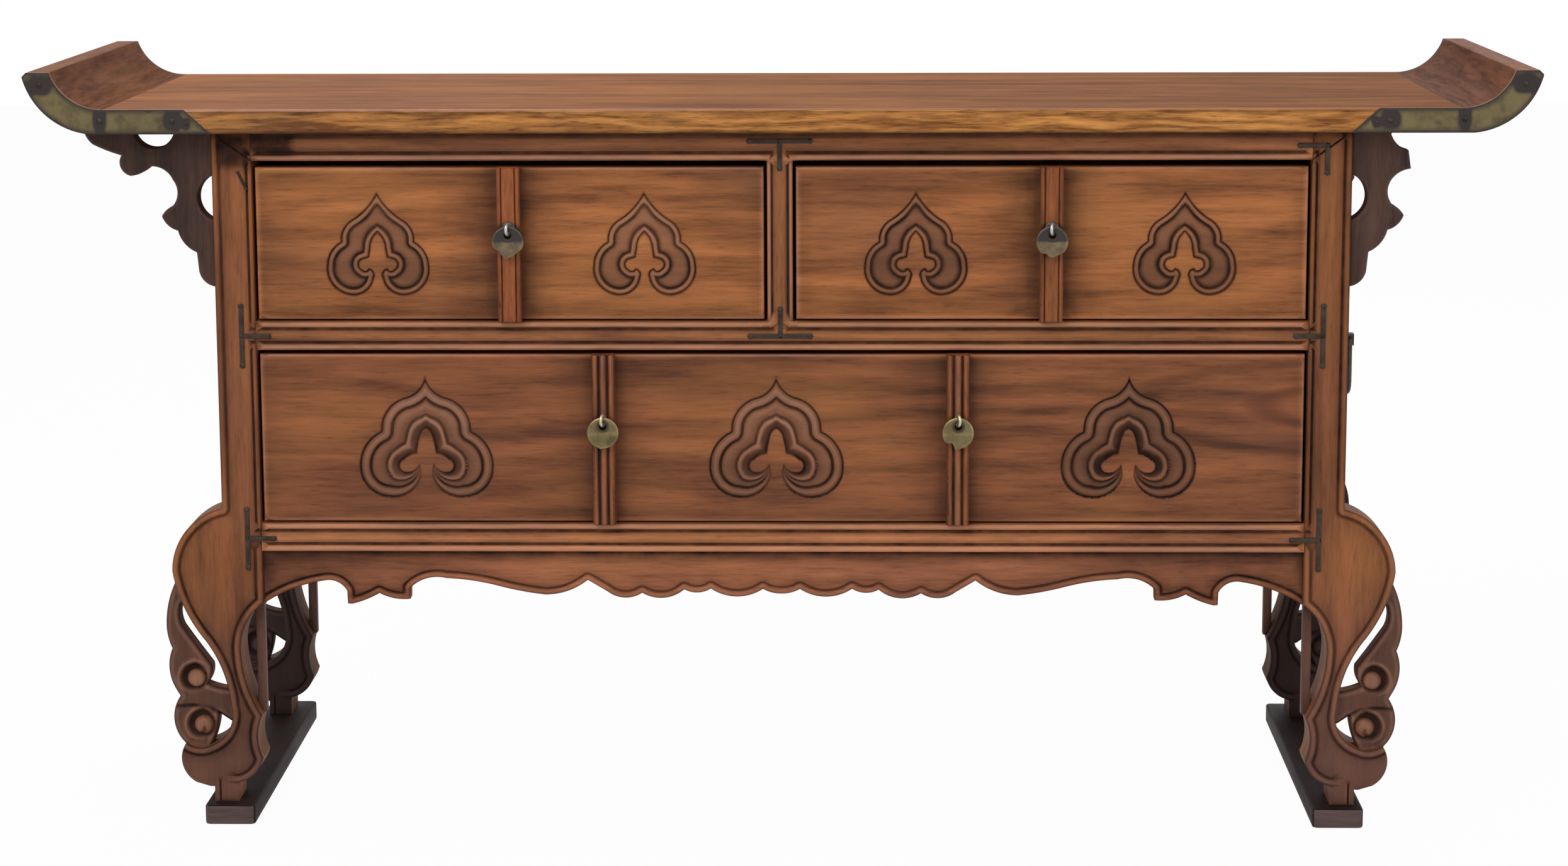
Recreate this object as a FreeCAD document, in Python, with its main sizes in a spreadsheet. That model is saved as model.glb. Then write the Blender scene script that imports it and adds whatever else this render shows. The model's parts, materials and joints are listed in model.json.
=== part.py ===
import FreeCAD, Part
import math
import os
from FreeCAD import Vector, Placement, Rotation

# A low chest of drawers with an upturned top, carved cabriole legs and runner feet.
# Millimetres. X runs along the front, Y from front to back, Z up. The origin is on the
# floor below the middle of the chest.

doc = FreeCAD.newDocument("low_chest")

# Driving dimensions
dimensions = [
    ("overall_width", 1220, "tip to tip of the scroll ends"),
    ("overall_depth", 330, "front nail heads to the back edge of the top"),
    ("board_thickness", 20, "top board"),
    ("scroll_rise", 30, "height of the scroll ends above the board"),
    ("scroll_thickness", 22, "width of the flat tip of a scroll end"),
    ("scroll_foot", 65, "from the tip of a scroll end to its seam with the board"),
    ("strap_thickness", 0.8, "brass strap on the front edge of a scroll end"),
    ("strap_length", 130, "from the tip to the inner end of a brass strap"),
    ("strap_slant", 22, "slant of the inner end of a brass strap"),
    ("nail_height", 1.2, "nail head above its strap"),
    ("nail_radius", 4, "nail head in a brass strap"),
    ("top_overhang", 147.5, "tip of a scroll end beyond the outer face of a post"),
    ("frame_setback", 20, "front of the posts behind the front of the top"),
    ("post_width", 32.5, "post along the front"),
    ("post_depth", 36, "post from front to back"),
    ("rail_height", 24, "front, back and side rails"),
    ("rail_depth", 24, "front and back rails"),
    ("bead_width", 5, "rounded bead along the edges of the frame"),
    ("groove_width", 2, "groove beside a bead"),
    ("groove_depth", 1.6, "depth of that groove"),
    ("centre_post_width", 21, "post between the upper drawers"),
    ("runner_height", 16, "sled foot"),
    ("runner_width", 42, "sled foot"),
    ("runner_overrun", 12, "sled foot beyond the front and back of the posts"),
    ("runner_outset", 19.5, "outer face of a sled foot beyond the posts"),
    ("runner_rounding", 5, "rounded corners of a sled foot"),
    ("leg_height", 215, "from the sled foot to the bottom rail"),
    ("knee_reach", 43, "how far the knee swells beyond the post"),
    ("neck_width", 20, "block between the leg and the sled foot"),
    ("neck_height", 13, "height of that block"),
    ("neck_outset", 13, "outer face of that block beyond the post"),
    ("wing_thickness", 16, "pierced scroll beside a leg"),
    ("wing_inset", 6, "front of a pierced scroll behind the leg's face"),
    ("volute_radius", 7.5, "raised eye of a scroll"),
    ("volute_height", 3, "raised eye above its scroll"),
    ("stay_width", 7.5, "thin stick beside the waist of a leg"),
    ("stay_depth", 8, "thin stick beside the waist of a leg"),
    ("stay_inset", 2, "thin stick from the inner edge of the post"),
    ("bracket_thickness", 16, "pierced bracket under the top"),
    ("bracket_inset", 7, "front of a bracket behind the post's face"),
    ("bracket_reach", 105, "bracket along the underside of the top"),
    ("bracket_drop", 128.5, "bracket down the side of the post"),
    ("apron_thickness", 14, "scalloped apron"),
    ("apron_inset", 4, "front of the apron behind the frame"),
    ("apron_drop", 45.2, "apron at its deepest point beside the leg"),
    ("upper_opening", 132, "height of the upper drawer openings"),
    ("lower_opening", 145, "height of the lower drawer opening"),
    ("panel_thickness", 8, "side and back panels"),
    ("side_panel_inset", 4, "side panel behind the outer faces of the posts"),
    ("back_panel_inset", 10, "back panel behind the back faces of the posts"),
    ("floor_thickness", 10, "boards that the drawers run on"),
    ("guide_height", 20, "strips that keep the drawers straight, above the boards"),
    ("cleat_height", 20, "the same strips below the top of the boards"),
    ("running_clearance", 0.3, "drawer above its board"),
    ("drawer_side_gap", 2.5, "between a drawer and its opening, each side"),
    ("drawer_bottom_gap", 1.5, "below a drawer front"),
    ("upper_top_gap", 5.5, "above an upper drawer front"),
    ("lower_top_gap", 3.5, "above the lower drawer front"),
    ("drawer_front_thickness", 18, "drawer front"),
    ("drawer_front_recess", 2, "drawer front behind the frame"),
    ("drawer_wall", 10, "sides and back of a drawer"),
    ("drawer_floor", 6, "bottom of a drawer"),
    ("drawer_floor_lift", 5, "bottom of a drawer above the lower edge of its sides"),
    ("drawer_back_gap", 8, "between a drawer and the back panel"),
    ("drawer_side_drop", 12, "drawer sides below the top of the front"),
    ("batten_width", 18.5, "upright reeded batten on a drawer front"),
    ("batten_thickness", 11, "upright reeded batten on a drawer front"),
    ("batten_overrun", 1, "batten above and below its drawer front"),
    ("lower_batten_offset", 145, "battens of the lower drawer from the middle"),
    ("carving_depth", 3, "recess of a carved cloud head"),
    ("upper_cloud_width", 87, "cloud head on an upper drawer"),
    ("upper_cloud_height", 85.5, "cloud head on an upper drawer"),
    ("lower_cloud_width", 115, "cloud head on the lower drawer"),
    ("lower_cloud_height", 101, "cloud head on the lower drawer"),
    ("eye_radius", 4.2, "middle line of the ring that a pull hangs on"),
    ("eye_wire", 1.1, "half the width of the ring's wire"),
    ("eye_thickness", 1.6, "ring along its axis"),
    ("eye_stem", 1.1, "stem from the batten to the middle of the ring's wire"),
    ("upper_eye_height", 78, "ring above the board, upper drawers"),
    ("lower_eye_height", 89.5, "ring above the board, lower drawer"),
    ("pull_radius", 12.8, "brass disc of a pull"),
    ("pull_thickness", 1.2, "brass disc of a pull"),
    ("pull_hole", 2.5, "radius of the hole in the disc"),
    ("pull_hole_offset", 8.6, "hole above the middle of the disc"),
    ("hanging_clearance", 0.5, "between a ring's wire and the hole on it"),
    ("joint_strap_width", 3.4, "iron strap over a joint of the frame"),
    ("joint_strap_thickness", 1.2, "iron strap over a joint of the frame"),
    ("joint_strap_length", 43, "long arm of an iron strap"),
    ("joint_strap_stem", 23, "short arm of an iron strap"),
    ("joint_nail_radius", 2.9, "nail at the end of an iron strap"),
    ("handle_reach", 21, "bail's middle line beyond the side panel"),
    ("handle_span", 76, "bail from arm to arm"),
    ("handle_drop", 46, "bail below its pivot"),
    ("handle_wire", 2.5, "half the width of the bail's bar"),
    ("handle_bend", 9, "bend of the bail's corners"),
    ("handle_height", 135, "bail's pivot above the lower board"),
    ("lug_height", 10, "lug that the bail turns in"),
    ("lug_width", 9, "lug along the bail's pin"),
    ("lug_gap", 1, "between a lug and the bail's arm"),
    ("lug_tip", 4.5, "lug beyond the middle of the bail's pin"),
    ("handle_pin_clearance", 0.06, "around the bail's pin in its lug"),
    ("handle_pin_length", 15, "bail's pin from its arm"),
]
sheet = doc.addObject("Spreadsheet::Sheet", "sizes")
for row, (alias, number, note) in enumerate(dimensions, 1):
    sheet.set("A%d" % row, alias)
    sheet.set("B%d" % row, str(number))
    sheet.set("C%d" % row, note)
    sheet.setAlias("B%d" % row, alias)
doc.recompute()


class Size:
    """A length that keeps both its number and the sheet formula that gives it."""

    def __init__(self, number, formula):
        self.number = number
        self.formula = formula

    def joined(self, other, sign, number):
        formula = other.formula if isinstance(other, Size) else repr(other)
        return Size(number, "(%s %s %s)" % (self.formula, sign, formula))

    def __float__(self):
        return float(self.number)

    def __add__(self, other):
        return self.joined(other, "+", self.number + float(other))

    def __sub__(self, other):
        return self.joined(other, "-", self.number - float(other))

    def __mul__(self, other):
        return self.joined(other, "*", self.number * float(other))

    def __truediv__(self, other):
        return self.joined(other, "/", self.number / float(other))

    def __neg__(self):
        return Size(-self.number, "(0 - %s)" % self.formula)


def size(alias):
    return Size(float(sheet.get(alias)), "sizes." + alias)


def bind(feature, prop, length):
    """Tie a property of a document object to a formula of the sheet."""
    feature.setExpression(prop, length.formula if isinstance(length, Size) else repr(length))


def place(feature, x, y, z):
    """Tie the position of a document object to formulas of the sheet."""
    bind(feature, "Placement.Base.x", x)
    bind(feature, "Placement.Base.y", y)
    bind(feature, "Placement.Base.z", z)


nodes = {}


def keep(label, feature):
    """Take a document object as a finished sub-part with a name of its own."""
    feature.Label = label
    nodes[label] = feature
    return feature


# Levels and planes shared by the pieces
zero = Size(0.0, "0")
half_width = size("overall_width") / 2
half_depth = size("overall_depth") / 2
runner_top = size("runner_height")
bottom_rail_base = runner_top + size("leg_height")
lower_floor = bottom_rail_base + size("rail_height")
middle_rail_base = lower_floor + size("lower_opening")
upper_floor = middle_rail_base + size("rail_height")
top_rail_base = upper_floor + size("upper_opening")
board_base = top_rail_base + size("rail_height")
board_top = board_base + size("board_thickness")
tip_top = board_top + size("scroll_rise")
board_front = size("strap_thickness") + size("nail_height") - half_depth
frame_front = size("frame_setback") - half_depth
frame_back = -frame_front
post_outer = half_width - size("top_overhang")
post_inner = post_outer - size("post_width")
front_post_back = frame_front + size("post_depth")
front_rail_back = frame_front + size("rail_depth")
drawer_face = frame_front + size("drawer_front_recess")
batten_face = drawer_face - size("batten_thickness")
half_centre_post = size("centre_post_width") / 2


# Outlines are a start point and steps: straight to a point, or round through one to another
def line_to(across, up):
    return [(across, up)]


def arc_to(across_by, up_by, across, up):
    return [(across_by, up_by), (across, up)]


def mirrored(point, side):
    return Vector(side * float(point[0]), float(point[1]), 0)


def outline_edges(start, steps, side=1):
    """Lines and arcs of a closed outline, on the right side of the chest or its mirror image."""
    edges = []
    here = mirrored(start, side)
    first = here
    for step in steps:
        end = mirrored(step[-1], side)
        if len(step) == 1:
            edges.append(Part.LineSegment(here, end))
        else:
            edges.append(Part.Arc(here, mirrored(step[0], side), end))
        here = end
    if here.distanceToPoint(first) > 1e-6:
        edges.append(Part.LineSegment(here, first))
    return edges


def sketch_on(body, name, role, edges):
    """A sketch of the given edges on one of the body's own origin planes."""
    plane = [feature for feature in body.Origin.OriginFeatures if feature.Role == role][0]
    sketch = body.newObject("Sketcher::SketchObject", name)
    sketch.AttachmentSupport = [(plane, "")]
    sketch.MapMode = "FlatFace"
    sketch.addGeometry(edges, False)
    return sketch


def block(name, low, high):
    """A squared piece of wood between two corners."""
    box = doc.addObject("Part::Box", name)
    bind(box, "Length", high[0] - low[0])
    bind(box, "Width", high[1] - low[1])
    bind(box, "Height", high[2] - low[2])
    place(box, *low)
    return box


def plate(name, edges, front, thickness):
    """A board cut to an outline seen from the front."""
    body = doc.addObject("PartDesign::Body", name)
    sketch = sketch_on(body, name + "_outline", "XZ_Plane", edges)
    pad = body.newObject("PartDesign::Pad", name + "_thickness")
    pad.Profile = sketch
    bind(pad, "Length", thickness)
    pad.Reversed = True
    place(body, zero, front, zero)
    return body


def moulding(name, edges, role, length, start):
    """A length of moulding from its section."""
    body = doc.addObject("PartDesign::Body", name)
    sketch = sketch_on(body, name + "_section", role, edges)
    pad = body.newObject("PartDesign::Pad", name + "_length")
    pad.Profile = sketch
    bind(pad, "Length", length)
    place(body, *start)
    return body


def group(name, members):
    """Like pieces that share a name."""
    compound = doc.addObject("Part::Compound", name)
    compound.Links = members
    return compound


def cut(name, base, tool):
    """A piece trimmed to seat against another."""
    trimmed = doc.addObject("Part::Cut", name)
    trimmed.Base = base
    trimmed.Tool = tool
    return trimmed


def faceted(name, facets, radius, height, turn):
    """A small round piece with few facets, turned from upright, with its corners on the radius."""
    piece = doc.addObject("Part::Prism", name)
    piece.Polygon = facets
    bind(piece, "Circumradius", radius)
    bind(piece, "Height", height)
    piece.Placement = Placement(Vector(), turn)
    return piece


def faceted_hole(name, facets, radius, height, turn):
    """The same for a hole, with its flats on the radius."""
    return faceted(name, facets, radius / math.cos(math.pi / facets), height, turn)


to_front = Rotation(Vector(1, 0, 0), 90)
to_back = Rotation(Vector(1, 0, 0), -90)
to_right = Rotation(Vector(0, 1, 0), 90)


def side_name(side):
    return "right" if side > 0 else "left"


sides = (-1, 1)

# Top: a straight board between two upturned scroll ends
seam = half_width - size("scroll_foot")
board_depth = half_depth - board_front
keep("top_board", block("board", (-seam, board_front, board_base), (seam, half_depth, board_top)))

tip_inner = half_width - size("scroll_thickness")
tip_round = 3.5
curl_start = 11
curl_in = 19
curl_up = 15
hollow_start = 3
hollow_in = 15.3
hollow_up = 8.8


def scroll_curl_steps(to_tip_from):
    """Under side, tip and hollow upper side of a scroll end, from below to above."""
    tip = float(half_width)
    base = float(board_base)
    top = float(tip_top)
    return [
        line_to(float(seam) + curl_start, base),
        arc_to(tip - curl_in, base + curl_up, tip, top - tip_round),
        line_to(tip - tip_round, top),
        line_to(float(tip_inner), top),
        arc_to(float(tip_inner) - hollow_in, float(board_top) + hollow_up,
               float(seam) + hollow_start, float(board_top)),
        line_to(to_tip_from, float(board_top)),
    ]


strap_end = half_width - size("strap_length")
strap_low_end = strap_end - size("strap_slant")
# Each nail by shares: of the strap's length from the tip, of the end's height from above, of the radius
nail_spots = ((0.108, 0.21, 1.0), (0.477, 0.78, 1.0), (0.93, 0.79, 1.0), (1.015, 0.83, 0.65))
end_height = size("board_thickness") + size("scroll_rise")
strap_front = board_front - size("strap_thickness")
strap_nails = []
for side in sides:
    scroll_edges = outline_edges((float(seam), float(board_base)), scroll_curl_steps(float(seam)), side)
    keep("scroll_end_" + side_name(side),
         plate("scroll_" + side_name(side), scroll_edges, board_front, board_depth))
    strap_edges = outline_edges((float(strap_low_end), float(board_base)),
                                scroll_curl_steps(float(strap_end)), side)
    keep("edge_strap_" + side_name(side),
         plate("strap_" + side_name(side), strap_edges, strap_front, size("strap_thickness")))
    for spot, (inward, down, share) in enumerate(nail_spots):
        nail = faceted("strap_nail_%s_%d" % (side_name(side), spot), 6, size("nail_radius") * share,
                       size("nail_height"), to_front)
        place(nail, (half_width - size("strap_length") * inward) * side, strap_front,
              tip_top - end_height * down)
        strap_nails.append(nail)
keep("strap_nails", group("nails", strap_nails))

# Legs: each post runs down into a cabriole leg, drawn 215 high with a knee of 43 and a post of 32.5
leg_scale = float(size("leg_height")) / 215.0
knee_scale = float(size("knee_reach")) / 43.0
post_scale = float(size("post_width")) / 32.5


def beside(out, up):
    """A point beside the outer edge of the post, above the sled foot."""
    reach = out * (knee_scale if out > 0 else post_scale)
    return float(post_outer) + reach, float(runner_top) + up * leg_scale


def within(out, up):
    """A point out from the inner edge of the post, above the sled foot."""
    return float(post_inner) + out * post_scale, float(runner_top) + up * leg_scale


neck_outer = float(post_outer + size("neck_outset"))
neck_inner = neck_outer - float(size("neck_width"))
neck_top = float(runner_top + size("neck_height"))
neck_flare = 3.5
leg_start = (float(post_outer), float(board_base))
leg_steps = [
    line_to(*beside(0, 251)),
    arc_to(*beside(27, 236), *beside(43, 198)),
    arc_to(*beside(37, 174), *beside(17.5, 139)),
    arc_to(*beside(2, 108), *beside(-2.8, 82)),
    arc_to(*beside(1, 59.5), *beside(15.5, 48)),
    arc_to(*beside(24.5, 46), *beside(36, 50.5)),
    arc_to(*beside(40, 35), *beside(28, 16.5)),
    line_to(neck_outer + neck_flare, neck_top),
    line_to(neck_outer, neck_top),
    line_to(neck_outer, float(runner_top)),
    line_to(neck_inner, float(runner_top)),
    line_to(neck_inner, neck_top),
    line_to(*within(25, 16.5)),
    arc_to(*within(9.5, 26), *within(4.4, 37)),
    arc_to(*within(8.3, 56), *within(4.3, 73.5)),
    arc_to(*within(16, 99.5), *within(20.6, 126)),
    arc_to(*within(16, 152), *within(0, 171)),
    line_to(float(post_inner), float(board_base)),
]

# Pierced scrolls: two leafy curls with a raised eye each, let into the outer edge of a leg
wing_start = beside(36, 178)
wing_steps = [
    line_to(*beside(41.7, 188)),
    arc_to(*beside(48.3, 170), *beside(50.8, 150)),
    arc_to(*beside(49.5, 139), *beside(46.5, 130)),
    arc_to(*beside(49.6, 115), *beside(45, 96)),
    line_to(*beside(41, 89)),
    arc_to(*beside(46.8, 73), *beside(41, 52)),
    line_to(*beside(35, 45)),
    line_to(*beside(17.5, 43)),
    arc_to(*beside(11.5, 58), *beside(8.7, 74.3)),
    line_to(*beside(-1, 67.5)),
    line_to(*beside(-6, 67)),
    line_to(*beside(-6, 95)),
    arc_to(*beside(9, 96.6), *beside(17.8, 99.8)),
    arc_to(*beside(14.2, 107), *beside(13.9, 115.7)),
    arc_to(*beside(24.2, 129.9), *beside(37, 148.4)),
    arc_to(*beside(39.5, 159), *beside(37.8, 168.5)),
    line_to(*beside(34, 172)),
]
volute_spots = (beside(26.7, 105), beside(21.5, 64.7))

stay_top = runner_top + size("leg_height") * 0.837
stay_foot = runner_top + size("leg_height") * 0.344
stay_edge = post_inner + size("stay_inset")

stays = []
wings = {"front": [], "rear": []}
for end, leg_front in (("front", frame_front), ("rear", frame_back - size("post_depth"))):
    # The carved face looks to the front on every leg
    wing_front = leg_front + size("wing_inset")
    for side in sides:
        tag = end + "_" + side_name(side)
        leg = plate("leg_" + tag, outline_edges(leg_start, leg_steps, side), leg_front, size("post_depth"))
        keep("leg_" + tag, leg)

        scroll = plate("scroll_plate_" + tag, outline_edges(wing_start, wing_steps, side),
                       wing_front, size("wing_thickness"))
        eyes = []
        for spot, (across, up) in enumerate(volute_spots if end == "front" else ()):
            eye = faceted("scroll_eye_%s_%d" % (tag, spot), 10, size("volute_radius"),
                          size("volute_height"), to_front)
            eye.Placement.Base = Vector(side * across, 0, up)
            bind(eye, "Placement.Base.y", wing_front)
            eyes.append(eye)
        # Only the front scrolls have raised eyes
        carved = scroll
        if eyes:
            carved = doc.addObject("Part::MultiFuse", "carved_scroll_" + tag)
            carved.Shapes = [scroll] + eyes
        wings[end].append(cut("wing_" + tag, carved, leg))

        # A thin stick from the foot of the post to the cusp inside the leg
        low = stay_edge if side > 0 else -(stay_edge + size("stay_width"))
        stay_front = leg_front + size("post_depth") / 2 - size("stay_depth") / 2
        stick = block("stick_" + tag, (low, stay_front, stay_foot),
                      (low + size("stay_width"), stay_front + size("stay_depth"), stay_top))
        stays.append(cut("stay_" + tag, stick, leg))
for end, pair in wings.items():
    keep("wings_" + end, group("scrolls_" + end, pair))
keep("leg_stays", group("sticks", stays))

# Sled feet: one runner under each pair of legs
half_runner = frame_back + size("runner_overrun")
for side in sides:
    outer = post_outer + size("runner_outset")
    low = outer - size("runner_width") if side > 0 else -outer
    sled = block("sled_" + side_name(side), (low, -half_runner, zero),
                 (low + size("runner_width"), half_runner, runner_top))
    doc.recompute()
    rounded = doc.addObject("Part::Fillet", "runner_" + side_name(side))
    rounded.Base = sled
    rounding = float(size("runner_rounding"))
    uprights = []
    for number, edge in enumerate(sled.Shape.Edges, 1):
        run = edge.Vertexes[1].Point - edge.Vertexes[0].Point
        if abs(run.z) > max(abs(run.x), abs(run.y)):
            uprights.append((number, rounding, rounding))
    rounded.Edges = uprights
    keep("runner_" + side_name(side), rounded)

# Front frame: rails and a centre post with a rounded bead along both edges
bead = float(size("bead_width"))
groove = float(size("groove_width"))
groove_floor = float(size("groove_depth"))
bead_shoulder = bead * 0.3


def beaded_section(height, depth, front, base, flip):
    """Section of a rail: two beads and grooves on its front, flat elsewhere."""
    top = base + height
    points = [
        line_to(front + bead_shoulder, base),
        arc_to(front, base + bead / 2, front + groove_floor, base + bead),
        line_to(front + groove_floor, base + bead + groove),
        line_to(front, base + bead + groove),
        line_to(front, top - bead - groove),
        line_to(front + groove_floor, top - bead - groove),
        line_to(front + groove_floor, top - bead),
        arc_to(front, top - bead / 2, front + bead_shoulder, top),
        line_to(front + depth, top),
    ]
    start = (front + depth, base)
    if not flip:
        return outline_edges(start, points)
    turned = []
    for step in points:
        turned.append([(up, across) for across, up in step])
    return outline_edges((start[1], start[0]), turned)


front_rails = (
    ("top_rail_front", top_rail_base),
    ("middle_rail_front", middle_rail_base),
    ("bottom_rail_front", bottom_rail_base),
)
rail_span = post_inner * 2
for label, rail_base in front_rails:
    section = beaded_section(float(size("rail_height")), float(size("rail_depth")), 0.0, 0.0, False)
    rail = moulding(label + "_wood", section, "YZ_Plane", rail_span, (-post_inner, frame_front, rail_base))
    keep(label, rail)

centre_section = beaded_section(float(size("centre_post_width")), float(size("rail_depth")), 0.0, 0.0, True)
centre_post = moulding("centre_post_wood", centre_section, "XY_Plane", size("upper_opening"),
                       (-half_centre_post, frame_front, upper_floor))
keep("centre_post", centre_post)

# Apron: a scalloped board under the bottom rail, drawn 430 from the middle to each post and 45.2 deep
apron_spread = float(post_inner) / 430.0
apron_scale = float(size("apron_drop")) / 45.2


def hanging(across, drop):
    """A point across from the middle and below the bottom rail."""
    return across * apron_spread, float(bottom_rail_base) - drop * apron_scale


right_lobes = [
    arc_to(*hanging(37, 39), *hanging(58.5, 32.3)),
    arc_to(*hanging(71, 35.7), *hanging(80.5, 33)),
    arc_to(*hanging(98.5, 40.3), *hanging(115.5, 36)),
    arc_to(*hanging(127.5, 40.1), *hanging(144, 35)),
    line_to(*hanging(160.5, 25.1)),
    arc_to(*hanging(176, 34), *hanging(196, 37.6)),
    arc_to(*hanging(212, 35.3), *hanging(232, 31)),
    arc_to(*hanging(254, 26.2), *hanging(278, 23.8)),
    arc_to(*hanging(297, 24.9), *hanging(308, 32)),
    line_to(*hanging(308.3, 41.5)),
    arc_to(*hanging(320, 41.3), *hanging(334, 36.6)),
    arc_to(*hanging(345, 42), *hanging(357, 45.8)),
    line_to(*hanging(360.5, 45.5)),
    line_to(*hanging(360.8, 35)),
    arc_to(*hanging(366, 28.8), *hanging(379.7, 26)),
    arc_to(*hanging(405, 32.5), *hanging(430, 45.2)),
]


def reversed_mirror(start, steps):
    """The same steps on the left half, walked from the far end back to the start."""
    corners = [start] + [step[-1] for step in steps]
    back = []
    for number in range(len(steps) - 1, -1, -1):
        end = corners[number]
        if len(steps[number]) == 1:
            back.append(line_to(-end[0], end[1]))
        else:
            by = steps[number][0]
            back.append(arc_to(-by[0], by[1], -end[0], end[1]))
    return back


middle_lobe_end = hanging(15.3, 32.5)
apron_steps = reversed_mirror(middle_lobe_end, right_lobes)
apron_steps.append(arc_to(*hanging(0, 36.4), *middle_lobe_end))
apron_steps += right_lobes
apron_steps.append(line_to(float(post_inner), float(bottom_rail_base)))
apron_steps.append(line_to(-float(post_inner), float(bottom_rail_base)))
apron_start = (-right_lobes[-1][-1][0], right_lobes[-1][-1][1])
apron = plate("apron", outline_edges(apron_start, apron_steps), frame_front + size("apron_inset"),
              size("apron_thickness"))
keep("apron_front", apron)

# Back and sides: plain rails and thin panels between the posts
rear_rail_front = frame_back - size("rail_depth")
rear_rails = []
for label, rail_base in front_rails:
    rear_rails.append(block(label.replace("front", "rear"), (-post_inner, rear_rail_front, rail_base),
                            (post_inner, frame_back, rail_base + size("rail_height"))))
keep("rails_rear", group("back_rails", rear_rails))

back_panel_back = frame_back - size("back_panel_inset")
back_panels = []
for tag, low_level, high_level in (("upper", upper_floor, top_rail_base),
                                   ("lower", lower_floor, middle_rail_base)):
    back_panels.append(block("back_board_" + tag,
                             (-post_inner, back_panel_back - size("panel_thickness"), low_level),
                             (post_inner, back_panel_back, high_level)))
keep("back_panels", group("back_boards", back_panels))

panel_outer = post_outer - size("side_panel_inset")
panel_inner = panel_outer - size("panel_thickness")
side_rail_back = -front_post_back
for side in sides:
    rails = []
    for tag, rail_base in (("top", top_rail_base), ("bottom", bottom_rail_base)):
        low = panel_inner if side > 0 else -post_outer
        high = post_outer if side > 0 else -panel_inner
        rails.append(block("side_rail_%s_%s" % (tag, side_name(side)), (low, front_post_back, rail_base),
                           (high, side_rail_back, rail_base + size("rail_height"))))
    keep("side_rails_" + side_name(side), group("side_frame_" + side_name(side), rails))
    low = panel_inner if side > 0 else -panel_outer
    high = panel_outer if side > 0 else -panel_inner
    keep("side_panel_" + side_name(side),
         block("side_board_" + side_name(side), (low, front_post_back, lower_floor),
               (high, side_rail_back, top_rail_base)))

# Boards that the drawers run on, with guide strips beside them
for label, level in (("upper_dust_board", upper_floor), ("lower_dust_board", lower_floor)):
    keep(label, block(label + "_wood", (-post_inner, front_rail_back, level - size("floor_thickness")),
                      (post_inner, rear_rail_front, level)))

guides = {"upper": [], "lower": []}
for tag, level in (("upper", upper_floor), ("lower", lower_floor)):
    for side in sides:
        low = post_inner if side > 0 else -panel_inner
        high = panel_inner if side > 0 else -post_inner
        guides[tag].append(block("guide_%s_%s" % (tag, side_name(side)),
                                 (low, front_post_back, level - size("cleat_height")),
                                 (high, side_rail_back, level + size("guide_height"))))
guides["upper"].append(block("guide_upper_centre", (-half_centre_post, front_rail_back, upper_floor),
                             (half_centre_post, rear_rail_front, upper_floor + size("guide_height"))))
keep("upper_guides", group("upper_strips", guides["upper"]))
keep("lower_guides", group("lower_strips", guides["lower"]))

# Brackets: pierced leafy plates under the overhang, drawn with a reach of 105 and a drop of 128.5
bracket_spread = float(size("bracket_reach")) / 105.0
bracket_scale = float(size("bracket_drop")) / 128.5


def below_top(out, drop):
    """A point out from the post's outer face and below the top."""
    return float(post_outer) + out * bracket_spread, float(board_base) - drop * bracket_scale


bracket_start = below_top(0, 128.5)
bracket_lower_steps = [
    arc_to(*below_top(11, 122.5), *below_top(14.3, 113)),
    line_to(*below_top(15.5, 100)),
    arc_to(*below_top(25, 93), *below_top(30.5, 82)),
    arc_to(*below_top(40, 76), *below_top(43.3, 70)),
    arc_to(*below_top(40, 65.5), *below_top(34, 61.5)),
    arc_to(*below_top(30, 52), *below_top(33.5, 40)),
]
bracket_whole_arm = [
    arc_to(*below_top(41, 31.5), *below_top(51.5, 29)),
    arc_to(*below_top(60, 35), *below_top(68, 36.8)),
    arc_to(*below_top(76.2, 29), *below_top(75, 20)),
    arc_to(*below_top(88, 15.5), *below_top(98, 11)),
    arc_to(*below_top(102.5, 6), *below_top(105, 0)),
    line_to(*below_top(65, 0)),
    arc_to(*below_top(48, 14), *below_top(31, 0)),
]
# The outer arm of the right bracket is broken away at its half-moon
bracket_broken_arm = [
    arc_to(*below_top(40, 34.5), *below_top(48.2, 32)),
    line_to(*below_top(46, 17)),
    arc_to(*below_top(37, 12.2), *below_top(31, 0)),
]
bracket_post_steps = [
    line_to(*below_top(0, 0)),
    line_to(*below_top(0, 36.5)),
    arc_to(*below_top(13.5, 55), *below_top(0, 73.5)),
]
bracket_front = frame_front + size("bracket_inset")
rear_bracket_front = -bracket_front - size("bracket_thickness")
front_brackets = []
rear_brackets = []
for side in sides:
    arm = bracket_broken_arm if side > 0 else bracket_whole_arm
    edges = outline_edges(bracket_start, bracket_lower_steps + arm + bracket_post_steps, side)
    front_brackets.append(plate("front_bracket_" + side_name(side), edges, bracket_front,
                                size("bracket_thickness")))
    edges = outline_edges(bracket_start, bracket_lower_steps + bracket_whole_arm + bracket_post_steps, side)
    rear_brackets.append(plate("rear_bracket_" + side_name(side), edges, rear_bracket_front,
                               size("bracket_thickness")))
keep("brackets_front", group("front_bracket_pair", front_brackets))
keep("brackets_rear", group("rear_bracket_pair", rear_brackets))

# Iron straps: small T and L bars nailed over the joints of the front frame
half_bar = size("joint_strap_width") / 2
half_arm = size("joint_strap_length") / 2
strap_face = frame_front - size("joint_strap_thickness")
corner_inset = 12.0
post_strap_inset = 9.0
top_strap_lift = 4.0
bottom_strap_drop = 1.0
strap_pieces = []


def iron_bar(name, centre_x, centre_z, half_x, half_z):
    bar = block(name, (centre_x - half_x, strap_face, centre_z - half_z),
                (centre_x + half_x, frame_front, centre_z + half_z))
    strap_pieces.append(bar)


def iron_nail(name, x, z):
    nail = faceted(name, 6, size("joint_nail_radius"), size("joint_strap_thickness"), to_front)
    place(nail, x, frame_front, z)
    strap_pieces.append(nail)


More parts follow.
